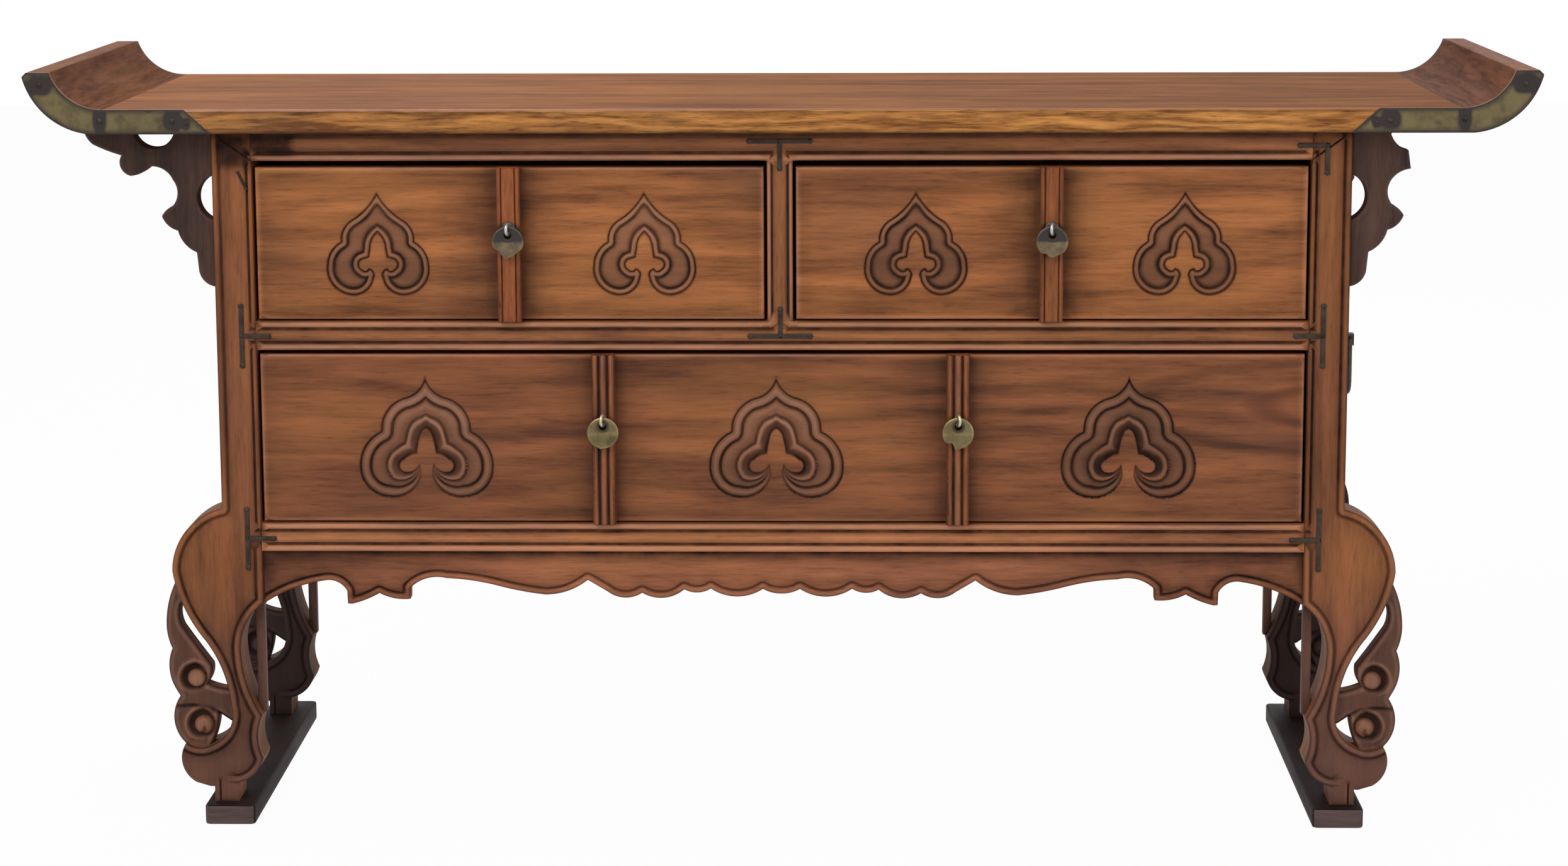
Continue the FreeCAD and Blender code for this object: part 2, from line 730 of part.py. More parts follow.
def iron_strap(name, x, z, arms):
    """Bars along the given arms from one corner, each ending in a nail."""
    for number, (step_x, step_z, length) in enumerate(arms):
        nail_x = x + length * step_x
        nail_z = z + length * step_z
        reach = (length - half_bar) / 2
        middle = half_bar + reach
        half_x = reach if step_x else half_bar
        half_z = reach if step_z else half_bar
        iron_bar("%s_bar_%d" % (name, number), x + middle * step_x, z + middle * step_z, half_x, half_z)
        iron_nail("%s_nail_%d" % (name, number), nail_x, nail_z)
    iron_bar(name + "_corner", x, z, half_bar, half_bar)


stem = size("joint_strap_stem")
rail_middle = size("rail_height") / 2
top_line = top_rail_base + rail_middle + top_strap_lift
middle_line = middle_rail_base + rail_middle
bottom_line = bottom_rail_base + rail_middle - bottom_strap_drop
iron_strap("strap_top_centre", zero, top_line, ((-1, 0, half_arm), (1, 0, half_arm), (0, -1, stem)))
iron_strap("strap_middle_centre", zero, middle_line, ((-1, 0, half_arm), (1, 0, half_arm), (0, 1, stem)))
for side in sides:
    post_line = (post_inner + post_strap_inset) * side
    for tag, level in (("middle", middle_line), ("bottom", bottom_line)):
        iron_strap("strap_%s_%s" % (tag, side_name(side)), post_line, level,
                   ((0, -1, half_arm), (0, 1, half_arm), (-side, 0, stem)))
iron_strap("strap_top_right", post_inner + corner_inset, top_rail_base + rail_middle,
           ((-1, 0, stem), (0, -1, stem)))
straps = doc.addObject("Part::MultiFuse", "joint_irons")
straps.Shapes = strap_pieces
keep("joint_straps", straps)

# Drawers: a front with carved cloud heads and an upright batten, and a plain box behind it


def cloud_edges(centre, tip, width, height):
    """A cloud head: a pointed heart with two curled ends around a raised three-lobed leaf."""
    spread = width / 87.0
    stretch = height / 85.5

    def spot(across, down):
        return across * spread, -down * stretch

    right = [
        arc_to(*spot(11.5, 15.3), *spot(21, 22.6)),
        arc_to(*spot(28.3, 30.5), *spot(30.4, 39.9)),
        arc_to(*spot(39, 48), *spot(43.5, 58.2)),
        arc_to(*spot(38.6, 77.5), *spot(24, 85.5)),
        arc_to(*spot(10, 81.2), *spot(5.2, 70)),
        line_to(*spot(7.6, 61.4)),
        line_to(*spot(14.6, 63.6)),
        line_to(*spot(19.8, 58.5)),
        arc_to(*spot(15.5, 54), *spot(8.4, 52.5)),
        line_to(*spot(6.8, 45)),
        arc_to(*spot(5, 36.5), *spot(0, 30.4)),
    ]
    steps = right + reversed_mirror((0.0, 0.0), right)
    edges = outline_edges((0.0, 0.0), steps)
    for edge in edges:
        edge.translate(Vector(centre, tip, 0))
    return edges


def drawer_front(label, left, right, low, high, clouds, width, height):
    """A drawer front with recessed cloud heads, each centred in its panel."""
    face = outline_edges((left, low), [line_to(right, low), line_to(right, high), line_to(left, high)])
    body = plate(label + "_wood", face, drawer_face, size("drawer_front_thickness"))
    carving = []
    for centre in clouds:
        carving += cloud_edges(centre, (low + high) / 2 + height / 2, width, height)
    sketch = sketch_on(body, label + "_clouds", "XZ_Plane", carving)
    pocket = body.newObject("PartDesign::Pocket", label + "_carving")
    pocket.Profile = sketch
    pocket.Type = "Length"
    bind(pocket, "Length", size("carving_depth"))
    keep(label, body)


def reeded_section():
    """Section of a batten: a flat middle between two rounded reeds."""
    wide = float(size("batten_width"))
    deep = float(size("batten_thickness"))
    reed = wide * 0.24
    channel = wide * 0.08
    return outline_edges((-wide / 2, 0), [
        line_to(-wide / 2, -deep + groove_floor),
        arc_to(-wide / 2 + reed / 2, -deep, -wide / 2 + reed, -deep + groove_floor),
        line_to(-wide / 2 + reed + channel, -deep + groove_floor),
        line_to(-wide / 2 + reed + channel, -deep),
        line_to(wide / 2 - reed - channel, -deep),
        line_to(wide / 2 - reed - channel, -deep + groove_floor),
        line_to(wide / 2 - reed, -deep + groove_floor),
        arc_to(wide / 2 - reed / 2, -deep, wide / 2, -deep + groove_floor),
        line_to(wide / 2, 0),
    ])


eye_centre_y = batten_face - size("eye_stem") - size("eye_radius")
hang_radius = size("eye_radius") + size("pull_hole") - size("eye_wire") - size("hanging_clearance")


def batten_at(label, x, low, high):
    batten = moulding(label + "_wood", reeded_section(), "XY_Plane", high - low + size("batten_overrun") * 2,
                      (x, drawer_face, low - size("batten_overrun")))
    keep(label, batten)


def pull_eye(name, x, z):
    """A flat ring on a short stem, standing upright out of the batten."""
    half_ring = size("eye_thickness") / 2
    rim = faceted(name + "_rim", 12, size("eye_radius") + size("eye_wire"), size("eye_thickness"), to_right)
    hole = faceted_hole(name + "_hole", 12, size("eye_radius") - size("eye_wire"), size("eye_thickness"),
                        to_right)
    for piece in (rim, hole):
        place(piece, x - half_ring, eye_centre_y, z)
    ring = cut(name + "_ring", rim, hole)
    stem = block(name + "_stem", (x - half_ring, eye_centre_y + size("eye_radius"), z - size("eye_wire")),
                 (x + half_ring, batten_face, z + size("eye_wire")))
    eye = doc.addObject("Part::MultiFuse", name)
    eye.Shapes = [ring, stem]
    return eye


def pull_disc(label, x, z):
    """A round plate hung on its ring by a hole above its middle."""
    disc_back = eye_centre_y + size("pull_thickness") / 2
    plate_round = faceted(label + "_round", 20, size("pull_radius"), size("pull_thickness"), to_front)
    place(plate_round, x, disc_back, z - hang_radius - size("pull_hole_offset"))
    hole = faceted_hole(label + "_hole", 12, size("pull_hole"), size("pull_thickness"), to_front)
    place(hole, x, disc_back, z - hang_radius)
    keep(label, cut(label + "_metal", plate_round, hole))


def drawer_box(label, left, right, base, top):
    """Sides and back of a drawer, and its bottom let in between them."""
    back = back_panel_back - size("panel_thickness") - size("drawer_back_gap")
    behind_front = drawer_face + size("drawer_front_thickness")
    wall = size("drawer_wall")
    walls = [
        block(label + "_left_side", (left, behind_front, base), (left + wall, back, top)),
        block(label + "_right_side", (right - wall, behind_front, base), (right, back, top)),
        block(label + "_back", (left + wall, back - wall, base), (right - wall, back, top)),
    ]
    keep(label + "_box", group(label + "_walls", walls))
    floor_low = base + size("drawer_floor_lift")
    keep(label + "_bottom", block(label + "_floor", (left + wall, behind_front, floor_low),
                                  (right - wall, back - wall, floor_low + size("drawer_floor"))))


gap = size("drawer_side_gap")
upper_low = upper_floor + size("drawer_bottom_gap")
upper_high = top_rail_base - size("upper_top_gap")
upper_eye_z = upper_floor + size("upper_eye_height")
for side in sides:
    label = "drawer_upper_" + side_name(side)
    inner_edge = half_centre_post + gap
    outer_edge = post_inner - gap
    left = inner_edge if side > 0 else -outer_edge
    right = outer_edge if side > 0 else -inner_edge
    middle = (left + right) / 2
    half_batten = float(size("batten_width")) / 2
    clouds = [
        (float(left) + float(middle) - half_batten) / 2,
        (float(right) + float(middle) + half_batten) / 2,
    ]
    drawer_front(label + "_front", float(left), float(right), float(upper_low), float(upper_high), clouds,
                 float(size("upper_cloud_width")), float(size("upper_cloud_height")))
    drawer_box(label, left, right, upper_floor + size("running_clearance"),
               upper_high - size("drawer_side_drop"))
    batten_at(label + "_batten", middle, upper_low, upper_high)
    keep(label + "_eye", pull_eye(label + "_eye_metal", middle, upper_eye_z))
    pull_disc("pull_upper_" + side_name(side), middle, upper_eye_z)

lower_low = lower_floor + size("drawer_bottom_gap")
lower_high = middle_rail_base - size("lower_top_gap")
lower_eye_z = lower_floor + size("lower_eye_height")
lower_left = -(post_inner - gap)
lower_right = post_inner - gap
lower_batten_x = size("lower_batten_offset")
outer_panel = (float(lower_right) + float(lower_batten_x) + float(size("batten_width")) / 2) / 2
drawer_front("drawer_lower_front", float(lower_left), float(lower_right), float(lower_low), float(lower_high),
             (-outer_panel, 0.0, outer_panel),
             float(size("lower_cloud_width")), float(size("lower_cloud_height")))
drawer_box("drawer_lower", lower_left, lower_right, lower_floor + size("running_clearance"),
           lower_high - size("drawer_side_drop"))
lower_eyes = []
for side in sides:
    x = lower_batten_x * side
    batten_at("drawer_lower_batten_" + side_name(side), x, lower_low, lower_high)
    lower_eyes.append(pull_eye("lower_eye_" + side_name(side), x, lower_eye_z))
    pull_disc("pull_lower_" + side_name(side), x, lower_eye_z)
keep("drawer_lower_eyes", group("lower_eye_pair", lower_eyes))

# Side handles: a drop bail between two lugs on each side panel
handle_z = lower_floor + size("handle_height")
arm_y = size("handle_span") / 2
half_bail = size("handle_wire")
half_lug = size("lug_height") / 2
lug_far = arm_y - half_bail - size("lug_gap")
pin_length = size("handle_pin_length")
diagonal = 0.5 ** 0.5


def bail_edges():
    """A U of square bar with rounded corners, hung from the level of its pins."""
    half_bar_width = float(half_bail)
    outer = float(arm_y) + half_bar_width
    inner = float(arm_y) - half_bar_width
    low = -float(size("handle_drop"))
    bend = float(size("handle_bend"))
    wide = (bend + half_bar_width) * diagonal
    tight = (bend - half_bar_width) * diagonal
    across = float(arm_y) - bend
    level = low + bend
    return outline_edges((-outer, half_bar_width), [
        line_to(-outer, level),
        arc_to(-across - wide, level - wide, -across, low - half_bar_width),
        line_to(across, low - half_bar_width),
        arc_to(across + wide, level - wide, outer, level),
        line_to(outer, half_bar_width),
        line_to(inner, half_bar_width),
        line_to(inner, level),
        arc_to(across + tight, level - tight, across, low + half_bar_width),
        line_to(-across, low + half_bar_width),
        arc_to(-across - tight, level - tight, -inner, level),
        line_to(-inner, half_bar_width),
    ])


handle_lugs = []
for side in sides:
    pivot_x = (panel_outer + size("handle_reach")) * side
    tip_x = pivot_x + size("lug_tip") * side
    seat_x = panel_outer * side
    pins = []
    for end in sides:
        tag = "%s_%s" % (side_name(side), "back" if end > 0 else "front")
        lug_low = lug_far - size("lug_width") if end > 0 else -lug_far
        lug = block("lug_" + tag, (seat_x if side > 0 else tip_x, lug_low, handle_z - half_lug),
                    (tip_x if side > 0 else seat_x, lug_low + size("lug_width"), handle_z + half_lug))
        bore_radius = half_bail + size("handle_pin_clearance")
        bore = faceted_hole("lug_bore_" + tag, 12, bore_radius, size("lug_width"), to_back)
        place(bore, pivot_x, lug_low, handle_z)
        handle_lugs.append(cut("bored_lug_" + tag, lug, bore))
        pin = faceted("bail_pin_" + tag, 12, half_bail, pin_length, to_back)
        place(pin, pivot_x, arm_y - pin_length if end > 0 else -arm_y, handle_z)
        pins.append(pin)
    bow = moulding("bail_bow_" + side_name(side), bail_edges(), "YZ_Plane", half_bail * 2,
                   (pivot_x - half_bail, zero, handle_z))
    bail = doc.addObject("Part::MultiFuse", "bail_" + side_name(side))
    bail.Shapes = [bow] + pins
    keep("side_bail_" + side_name(side), bail)
keep("handle_lugs", group("lugs", handle_lugs))

doc.recompute()

# Every object has to be sound before anything is written
for feature in doc.Objects:
    if "Invalid" in feature.State or "Error" in feature.State:
        raise RuntimeError("%s did not build: %s" % (feature.Name, feature.State))
for label, feature in nodes.items():
    if feature.Shape.isNull() or not feature.Shape.isValid():
        raise RuntimeError("%s has no sound shape" % label)

os.makedirs("parts", exist_ok=True)
for label, feature in nodes.items():
    feature.Shape.exportStep("parts/%s.step" % label)
print(len(nodes), "sub-parts")
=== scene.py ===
import json
import math

import bmesh
import bpy
import numpy as np
from mathutils import Matrix, Vector, geometry


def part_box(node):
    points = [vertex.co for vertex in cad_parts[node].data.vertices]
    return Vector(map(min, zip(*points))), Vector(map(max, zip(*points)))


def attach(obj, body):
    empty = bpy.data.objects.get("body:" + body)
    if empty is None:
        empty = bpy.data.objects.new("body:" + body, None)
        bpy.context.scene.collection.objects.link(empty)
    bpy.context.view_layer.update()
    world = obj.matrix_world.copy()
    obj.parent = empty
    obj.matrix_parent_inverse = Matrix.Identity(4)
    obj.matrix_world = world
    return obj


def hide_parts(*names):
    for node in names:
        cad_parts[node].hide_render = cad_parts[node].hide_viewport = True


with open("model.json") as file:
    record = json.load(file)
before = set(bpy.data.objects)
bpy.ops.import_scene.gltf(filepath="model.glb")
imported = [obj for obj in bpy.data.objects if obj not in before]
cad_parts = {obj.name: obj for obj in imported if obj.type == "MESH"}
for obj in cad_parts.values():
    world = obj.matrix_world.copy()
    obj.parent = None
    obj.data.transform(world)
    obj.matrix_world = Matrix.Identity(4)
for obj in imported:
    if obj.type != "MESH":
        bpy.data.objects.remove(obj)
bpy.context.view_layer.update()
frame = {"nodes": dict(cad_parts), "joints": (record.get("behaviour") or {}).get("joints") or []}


# Sled feet: a thick bar of dark hardwood lies under each pair of legs, front to back.
# It is sawn square with rounded corners, scuffed grey at both ends, and the necks of the
# legs are tenoned down into it.
class Value:
    """A node's socket that takes part in sums: each sum adds its Math node."""

    def __init__(self, owner, socket):
        self.owner = owner
        self.socket = socket

    def sum(self, operation, first, second):
        return self.owner.node("ShaderNodeMath", {"operation": operation}, {0: first, 1: second})

    def __add__(self, other):
        return self.sum("ADD", self, other)

    def __radd__(self, other):
        return self.sum("ADD", other, self)

    def __sub__(self, other):
        return self.sum("SUBTRACT", self, other)

    def __rsub__(self, other):
        return self.sum("SUBTRACT", other, self)

    def __mul__(self, other):
        return self.sum("MULTIPLY", self, other)

    def __rmul__(self, other):
        return self.sum("MULTIPLY", other, self)


class Nodes:
    """A node tree, with one method that adds any node: its type, its settings and its sockets."""

    def __init__(self, tree):
        self.tree = tree

    def node(self, kind, settings=(), inputs=(), output=0):
        made = self.tree.nodes.new(kind)
        for key, value in dict(settings).items():
            setattr(made, key, value)
        for key, value in dict(inputs).items():
            if isinstance(value, Value):
                self.tree.links.new(value.socket, made.inputs[key])
            else:
                made.inputs[key].default_value = value
        return Value(self, made.outputs[output]) if len(made.outputs) else None


class Finish(Nodes):
    """The node tree of a material or world."""

    def __init__(self, owner):
        owner.use_nodes = True
        super().__init__(owner.node_tree)
        self.owner = owner
        self.tree.nodes.clear()

    def blend(self, share, first, second):
        return self.node("ShaderNodeMix", {"data_type": "RGBA"}, {0: share, 6: first, 7: second}, 2)

    def span(self, value, low, high):
        """0 where the value is at low, 1 where it is at high."""
        return self.node("ShaderNodeMapRange", {}, {"Value": value, "From Min": low, "From Max": high})

    def noise(self, spot, scale, detail, roughness):
        inputs = {"Vector": spot, "Scale": scale, "Detail": detail, "Roughness": roughness}
        return self.node("ShaderNodeTexNoise", {}, inputs, "Fac")

    def laid(self, **inputs):
        """Puts the finished surface on the material."""
        surface = self.node("ShaderNodeBsdfPrincipled", {}, inputs)
        self.node("ShaderNodeOutputMaterial", {}, {"Surface": surface})
        return self.owner


def tone(red, green, blue):
    """A colour as a screen shows it, from 0 to 255, made linear."""
    shares = []
    for level in (red, green, blue):
        share = level / 255.0
        shares.append(share / 12.92 if share <= 0.04045 else ((share + 0.055) / 1.055) ** 2.4)
    return (*shares, 1.0)


# soot_and_shade is the dark of soot, dark grain and painted shade; handled_and_highlight is the pale of
# rubbed wax and painted highlight
soot_and_shade = tone(34, 14, 7)
handled_and_highlight = tone(186, 141, 122)
cut_brown = tone(114, 76, 56)
golden = tone(178, 117, 64)
dusky = tone(92, 62, 48)
heartwood = tone(172, 100, 66)


def wood(name, along, across, deep, pale, figure=0.35, gloss=0.58, shift=(0, 0, 0), bands=7.0, shine=0.2,
         variety=0.3, wear_and_highlight=1.0, fine=0.6, cut_tone=cut_brown, heart=None):
    """Waxed hardwood: growth bands, streaks and fibres drawn out along the grain, dirt and painted shade in
    the hollows, wear and painted highlight on the crests.

    A heart is where the rings have their middle, so that the bands turn into arches beside it.
    """
    finish = Finish(bpy.data.materials.new(name))
    spot = finish.node("ShaderNodeTexCoord", output="Object")

    def drawn_out(share, start):
        """Object space shortened along the grain, so that a pattern on it comes out long that way."""
        scale = Vector((1.0, 1.0, 1.0))
        scale["XYZ".index(along)] = share
        return finish.node("ShaderNodeMapping", {}, {"Vector": spot, "Location": start, "Scale": scale})

    board = drawn_out(0.14, shift)
    strand = drawn_out(0.08, shift)
    growth = finish.node("ShaderNodeTexWave", {"bands_direction": across}, {
        "Vector": board, "Scale": bands, "Distortion": 15.0,
        "Detail": 3.0, "Detail Scale": 1.7, "Detail Roughness": 0.6,
    }, "Fac")
    patch = finish.noise(board, 14.0, 2.0, 0.5)
    streak = finish.noise(board, 70.0, 6.0, 0.65)
    line = finish.noise(strand, 250.0, 3.0, 0.6)
    fibre = finish.noise(strand, 850.0, 2.0, 0.6)
    balance = 0.5 - (figure + 1.0 + 1.1 + 0.9 + 0.8 * fine) / 2
    shade = growth * figure + patch + streak * 1.1 + line * 0.9 + fibre * (0.8 * fine) + balance
    colour = finish.blend(shade, deep, pale)
    weather = finish.noise(drawn_out(0.5, shift), 8.0, 3.0, 0.55)
    colour = finish.blend(finish.span(weather, 0.5, 0.68) * variety, colour, golden)
    colour = finish.blend(finish.span(weather, 0.48, 0.32) * variety, colour, dusky)
    colour = finish.blend(finish.span(line, 0.42, 0.28) * (0.2 * fine), colour, soot_and_shade)
    pores = finish.span(fibre, 0.40, 0.28)
    colour = finish.blend(pores * (0.35 * fine), colour, soot_and_shade)
    if heart:
        drawn = 0.2
        from_heart = finish.node("ShaderNodeMapping", {}, {
            "Vector": spot, "Scale": (drawn, 0.0, 1.0), "Location": (-drawn * heart[0], 0.0, -heart[1]),
        })
        arches = finish.node("ShaderNodeTexWave", {"wave_type": "RINGS", "rings_direction": "Y"}, {
            "Vector": from_heart, "Scale": 15.0, "Distortion": 2.0, "Detail": 3.0, "Detail Scale": 1.5,
        }, "Fac")
        reach = finish.node("ShaderNodeVectorMath", {"operation": "LENGTH"}, {0: from_heart}, "Value")
        reach = reach + (streak - 0.5) * 0.012
        colour = finish.blend(finish.span(reach, 0.028, 0.022) * 0.4, colour, heartwood)
        arch_lines = finish.span(arches, 0.35, 0.0) * finish.span(reach, 0.060, 0.035)
        colour = finish.blend(arch_lines * 0.5, colour, soot_and_shade)
    cut = finish.node("ShaderNodeAttribute", {"attribute_name": "cut"}, {}, "Fac")
    colour = finish.blend(cut * 0.65, colour, cut_tone)
    # age is below 0 where dirt and painted shade darken the wood, and above 0 where wear and painted
    # highlight lighten it
    age = finish.node("ShaderNodeAttribute", {"attribute_name": "age"}, {}, "Fac")
    smudge = finish.noise(spot, 55.0, 3.0, 0.6)
    grime_and_shade = finish.span(0.0 - age, 0.0, 1.0)
    rubbed_and_highlight = finish.span(age, 0.0, 1.0)
    colour = finish.blend(grime_and_shade * (smudge * 0.7 + 0.6), colour, soot_and_shade)
    colour = finish.blend(rubbed_and_highlight * (smudge * 0.8 + 0.35) * wear_and_highlight, colour, handled_and_highlight)
    relief = fibre * 0.5 + streak * 0.8 - pores * 0.6
    bump = finish.node("ShaderNodeBump", {}, {"Strength": 0.35, "Distance": 0.0005, "Height": relief})
    rough = gloss + (0.5 - streak) * 0.3 + grime_and_shade * 0.25
    return finish.laid(**{"Base Color": colour, "Roughness": rough, "Normal": bump,
                          "Specular IOR Level": shine})


def mesh_of(shape):
    """The finished mesh of a shape in the making, which is then let go."""
    mesh = bpy.data.meshes.new("shape")
    shape.to_mesh(mesh)
    shape.free()
    return mesh


def eased(node, ease):
    """A copy of a CAD solid with its arrises taken off."""
    shape = bmesh.new()
    shape.from_mesh(frame["nodes"][node].data)
    bmesh.ops.remove_doubles(shape, verts=shape.verts, dist=1e-5)
    bmesh.ops.dissolve_limit(shape, angle_limit=math.radians(1), verts=shape.verts, edges=shape.edges)
    sharp = [edge for edge in shape.edges if edge.calc_face_angle(0.0) > math.radians(35)]
    bmesh.ops.bevel(shape, geom=sharp, offset=ease, segments=2, profile=0.6, affect="EDGES",
                    clamp_overlap=True)
    return mesh_of(shape)


def piece(name, mesh, body, nodes, slot, *finishes):
    """Stands a finished mesh in the scene for its CAD nodes, riding on their body."""
    mesh.name = name
    for finish in finishes:
        mesh.materials.append(finish)
    mesh.shade_smooth()
    mesh.set_sharp_from_angle(angle=math.radians(38))
    made = bpy.data.objects.new(name, mesh)
    bpy.context.scene.collection.objects.link(made)
    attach(made, body)
    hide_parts(*nodes)
    return made


runner_wood = wood("runner_wood", "Y", "X", tone(20, 11, 10), tone(40, 25, 23), figure=0.2, gloss=0.65,
                   variety=0.0, shine=0.12)
scuffed_end = wood("runner_end_wood", "X", "Z", tone(62, 49, 48), tone(102, 84, 80), figure=0.2, gloss=0.7,
                   variety=0.0)
for side in ("left", "right"):
    mesh = eased("runner_" + side, 0.0016)
    for face in mesh.polygons:
        face.material_index = 1 if abs(face.normal.y) > 0.6 else 0
    piece("sled_foot_" + side, mesh, "carcass", ["runner_" + side], "frame_wood", runner_wood, scuffed_end)


# Legs: each post and its cabriole leg are sawn from one plank of hardwood, grain upright.
# A bead is cut along the whole outline with a groove inside it, dark with soot and painted shade, and a finer
# bead frames each drawer opening. All four carved faces look to the front.
def traced(start, steps, curve=1.2, straight=4.0):
    """Points in mm along lines (x, z) and arcs (by x, by z, x, z), walked with the inside on the left."""
    points = [np.array(start, float)]
    for step in steps:
        begin = points[-1]
        end = np.array(step[-2:], float)
        if len(step) == 2:
            count = max(1, round(np.linalg.norm(end - begin) / straight))
            points += [begin + (end - begin) * share for share in np.linspace(0, 1, count + 1)[1:]]
            continue
        by = np.array(step[:2], float)
        sides = np.array([by - begin, end - begin]) * 2
        squares = np.array([by @ by - begin @ begin, end @ end - begin @ begin])
        centre = np.linalg.solve(sides, squares)
        radius = np.linalg.norm(begin - centre)
        turns = [math.atan2(spot[1] - centre[1], spot[0] - centre[0]) for spot in (begin, by, end)]
        sweep = (turns[2] - turns[0]) % math.tau
        if (turns[1] - turns[0]) % math.tau > sweep:
            sweep -= math.tau
        count = max(2, math.ceil(radius * abs(sweep) / curve))
        for share in np.linspace(0, 1, count + 1)[1:]:
            turn = turns[0] + sweep * share
            points.append(centre + radius * np.array([math.cos(turn), math.sin(turn)]))
    if np.linalg.norm(points[-1] - points[0]) < 0.01:
        points.pop()
    points = np.array(points)
    after = np.roll(points, -1, axis=0)
    area = (points[:, 0] * after[:, 1] - after[:, 0] * points[:, 1]).sum()
    return points if area > 0 else points[::-1]


def placed(place, *steps):
    """Steps for an outline in a piece's own measures, each of their points put in its place."""
    return [tuple(value for pair in zip(step[::2], step[1::2]) for value in place(*pair)) for step in steps]


def edge_distance(points, line, closed=True):
    """How far each point is from a line of corners."""
    starts = line if closed else line[:-1]
    runs = (np.roll(line, -1, axis=0) if closed else line[1:]) - starts
    lengths = (runs ** 2).sum(1)
    nearest = np.empty(len(points))
    for block in range(0, len(points), 2000):
        gaps = points[block:block + 2000, None, :] - starts[None]
        share = np.clip((gaps * runs).sum(2) / lengths, 0, 1)
        away = gaps - share[..., None] * runs
        nearest[block:block + 2000] = np.sqrt((away ** 2).sum(2).min(1))
    return nearest


def inside(points, outline):
    """True for each point that an outline goes round."""
    after = np.roll(outline, -1, axis=0)
    within = np.zeros(len(points), bool)
    for (x0, z0), (x1, z1) in zip(outline, after):
        if z0 != z1:
            crosses = (z0 > points[:, 1]) != (z1 > points[:, 1])
            within ^= crosses & (points[:, 0] < (x1 - x0) * (points[:, 1] - z0) / (z1 - z0) + x0)
    return within


def inward(line, closed=True):
    """At each corner, the step to the left that moves both neighbouring edges in by 1."""
    runs = np.roll(line, -1, axis=0) - line
    if not closed:
        runs[-1] = runs[-2]
    runs = runs / np.linalg.norm(runs, axis=1)[:, None]
    left = np.stack([-runs[:, 1], runs[:, 0]], 1)
    before = np.roll(left, 1, axis=0)
    if not closed:
        before[0] = left[0]
    middle = left + before
    return middle / np.maximum((middle * middle).sum(1) / 2, 0.4)[:, None]


def rows_beside(line, steps, closed=True):
    """Rows of points that follow a line at each distance, left out where another edge is nearer.

    Where a corner juts out into a row, the row goes round it.
    """
    runs = np.roll(line, -1, axis=0) - line
    before = np.roll(runs, 1, axis=0)
    if not closed:
        runs[-1] = before[-1]
        before[0] = runs[0]
    heading = np.arctan2(before[:, 1], before[:, 0])
    turns = (np.arctan2(runs[:, 1], runs[:, 0]) - heading + math.pi) % math.tau - math.pi
    rows = []
    for step in steps:
        row = [line + inward(line, closed) * step]
        for corner in np.flatnonzero(turns * np.sign(step) < -0.25):
            count = max(3, math.ceil(abs(turns[corner] * step) / 0.8))
            ways = heading[corner] + math.pi / 2 + turns[corner] * np.linspace(0, 1, count)
            row.append(line[corner] + step * np.stack([np.cos(ways), np.sin(ways)], 1))
        row = np.vstack(row)
        rows.append(row[edge_distance(row, line, closed) > abs(step) * 0.97])
    return np.vstack(rows)


def filling(outline, clear, pace):
    """Points on an even grid inside an outline, clear of its edge."""
    low, high = outline.min(0), outline.max(0)
    across = np.arange(low[0] + pace / 2, high[0], pace)
    up = np.arange(low[1] + pace / 2, high[1], pace)
    grid = np.stack(np.meshgrid(across, up), -1).reshape(-1, 2)
    grid = grid[inside(grid, outline)]
    return grid[edge_distance(grid, outline) > clear]


def carved(outline, front, back, relief, rows, ease=0.8):
    """A board sawn to an outline: its face is cut to the relief, its back arris taken off. All in mm."""
    points = np.vstack([outline] + rows)
    spots, kept = np.unique(np.round(points / 0.15).astype(int), axis=0, return_index=True)
    points = points[np.sort(kept)]
    count = len(outline)
    ring = [(number, (number + 1) % count) for number in range(count)]
    found = geometry.delaunay_2d_cdt([Vector(point) for point in points], ring, [], 1, 1e-4)
    face = np.array([tuple(corner) for corner in found[0]])
    rim = [0] * count
    for number, sources in enumerate(found[3]):
        for source in sources:
            if source < count:
                rim[source] = number
    depth, age, *cut = relief(face)
    back_edge = outline + inward(outline) * ease
    # The marks of the face end on a ring close behind it, and do not reach along the whole edge
    arris = front + depth[rim]
    shoulder = arris + np.minimum(3.0, 0.3 * (back - ease - arris))
    corners = np.vstack([
        np.stack([face[:, 0], front + depth, face[:, 1]], 1),
        np.stack([outline[:, 0], shoulder, outline[:, 1]], 1),
        np.stack([outline[:, 0], np.full(count, back - ease), outline[:, 1]], 1),
        np.stack([back_edge[:, 0], np.full(count, back), back_edge[:, 1]], 1),
    ])
    rings = [rim] + [[len(face) + count * number + corner for corner in range(count)] for number in range(3)]
    faces = [tuple(triangle) for triangle in found[2]]
    for near, far in zip(rings, rings[1:]):
        faces += [(near[there], near[here], far[here], far[there]) for here, there in ring]
    behind = geometry.delaunay_2d_cdt([Vector(point) for point in back_edge], ring, [], 1, 1e-5)
    if len(behind[0]) == count:
        faces += [tuple(rings[-1][corner] for corner in triangle[::-1]) for triangle in behind[2]]
    else:
        faces.append(tuple(rings[-1][::-1]))
    mesh = bpy.data.meshes.new("carved")
    mesh.from_pydata(corners * 0.001, [], faces)
    marks = {"age": np.concatenate([age, np.full(2 * count, -0.1), np.full(count, -0.2)])}
    if cut:
        marks["cut"] = np.concatenate([cut[0], np.zeros(3 * count)])
    for label, values in marks.items():
        mesh.attributes.new(label, "FLOAT", "POINT").data.foreach_set("value", values.astype(np.float32))
    shape = bmesh.new()
    shape.from_mesh(mesh)
    bmesh.ops.recalc_face_normals(shape, faces=shape.faces)
    bpy.data.meshes.remove(mesh)
    return mesh_of(shape)


def between(outline, start, stop):
    """The stretch of an outline from the corner nearest start to the one nearest stop."""
    first = int(np.argmin(np.abs(outline - start).sum(1)))
    turned = np.roll(outline, -first, axis=0)
    last = int(np.argmin(np.abs(turned - stop).sum(1)))
    return turned[:last + 1]


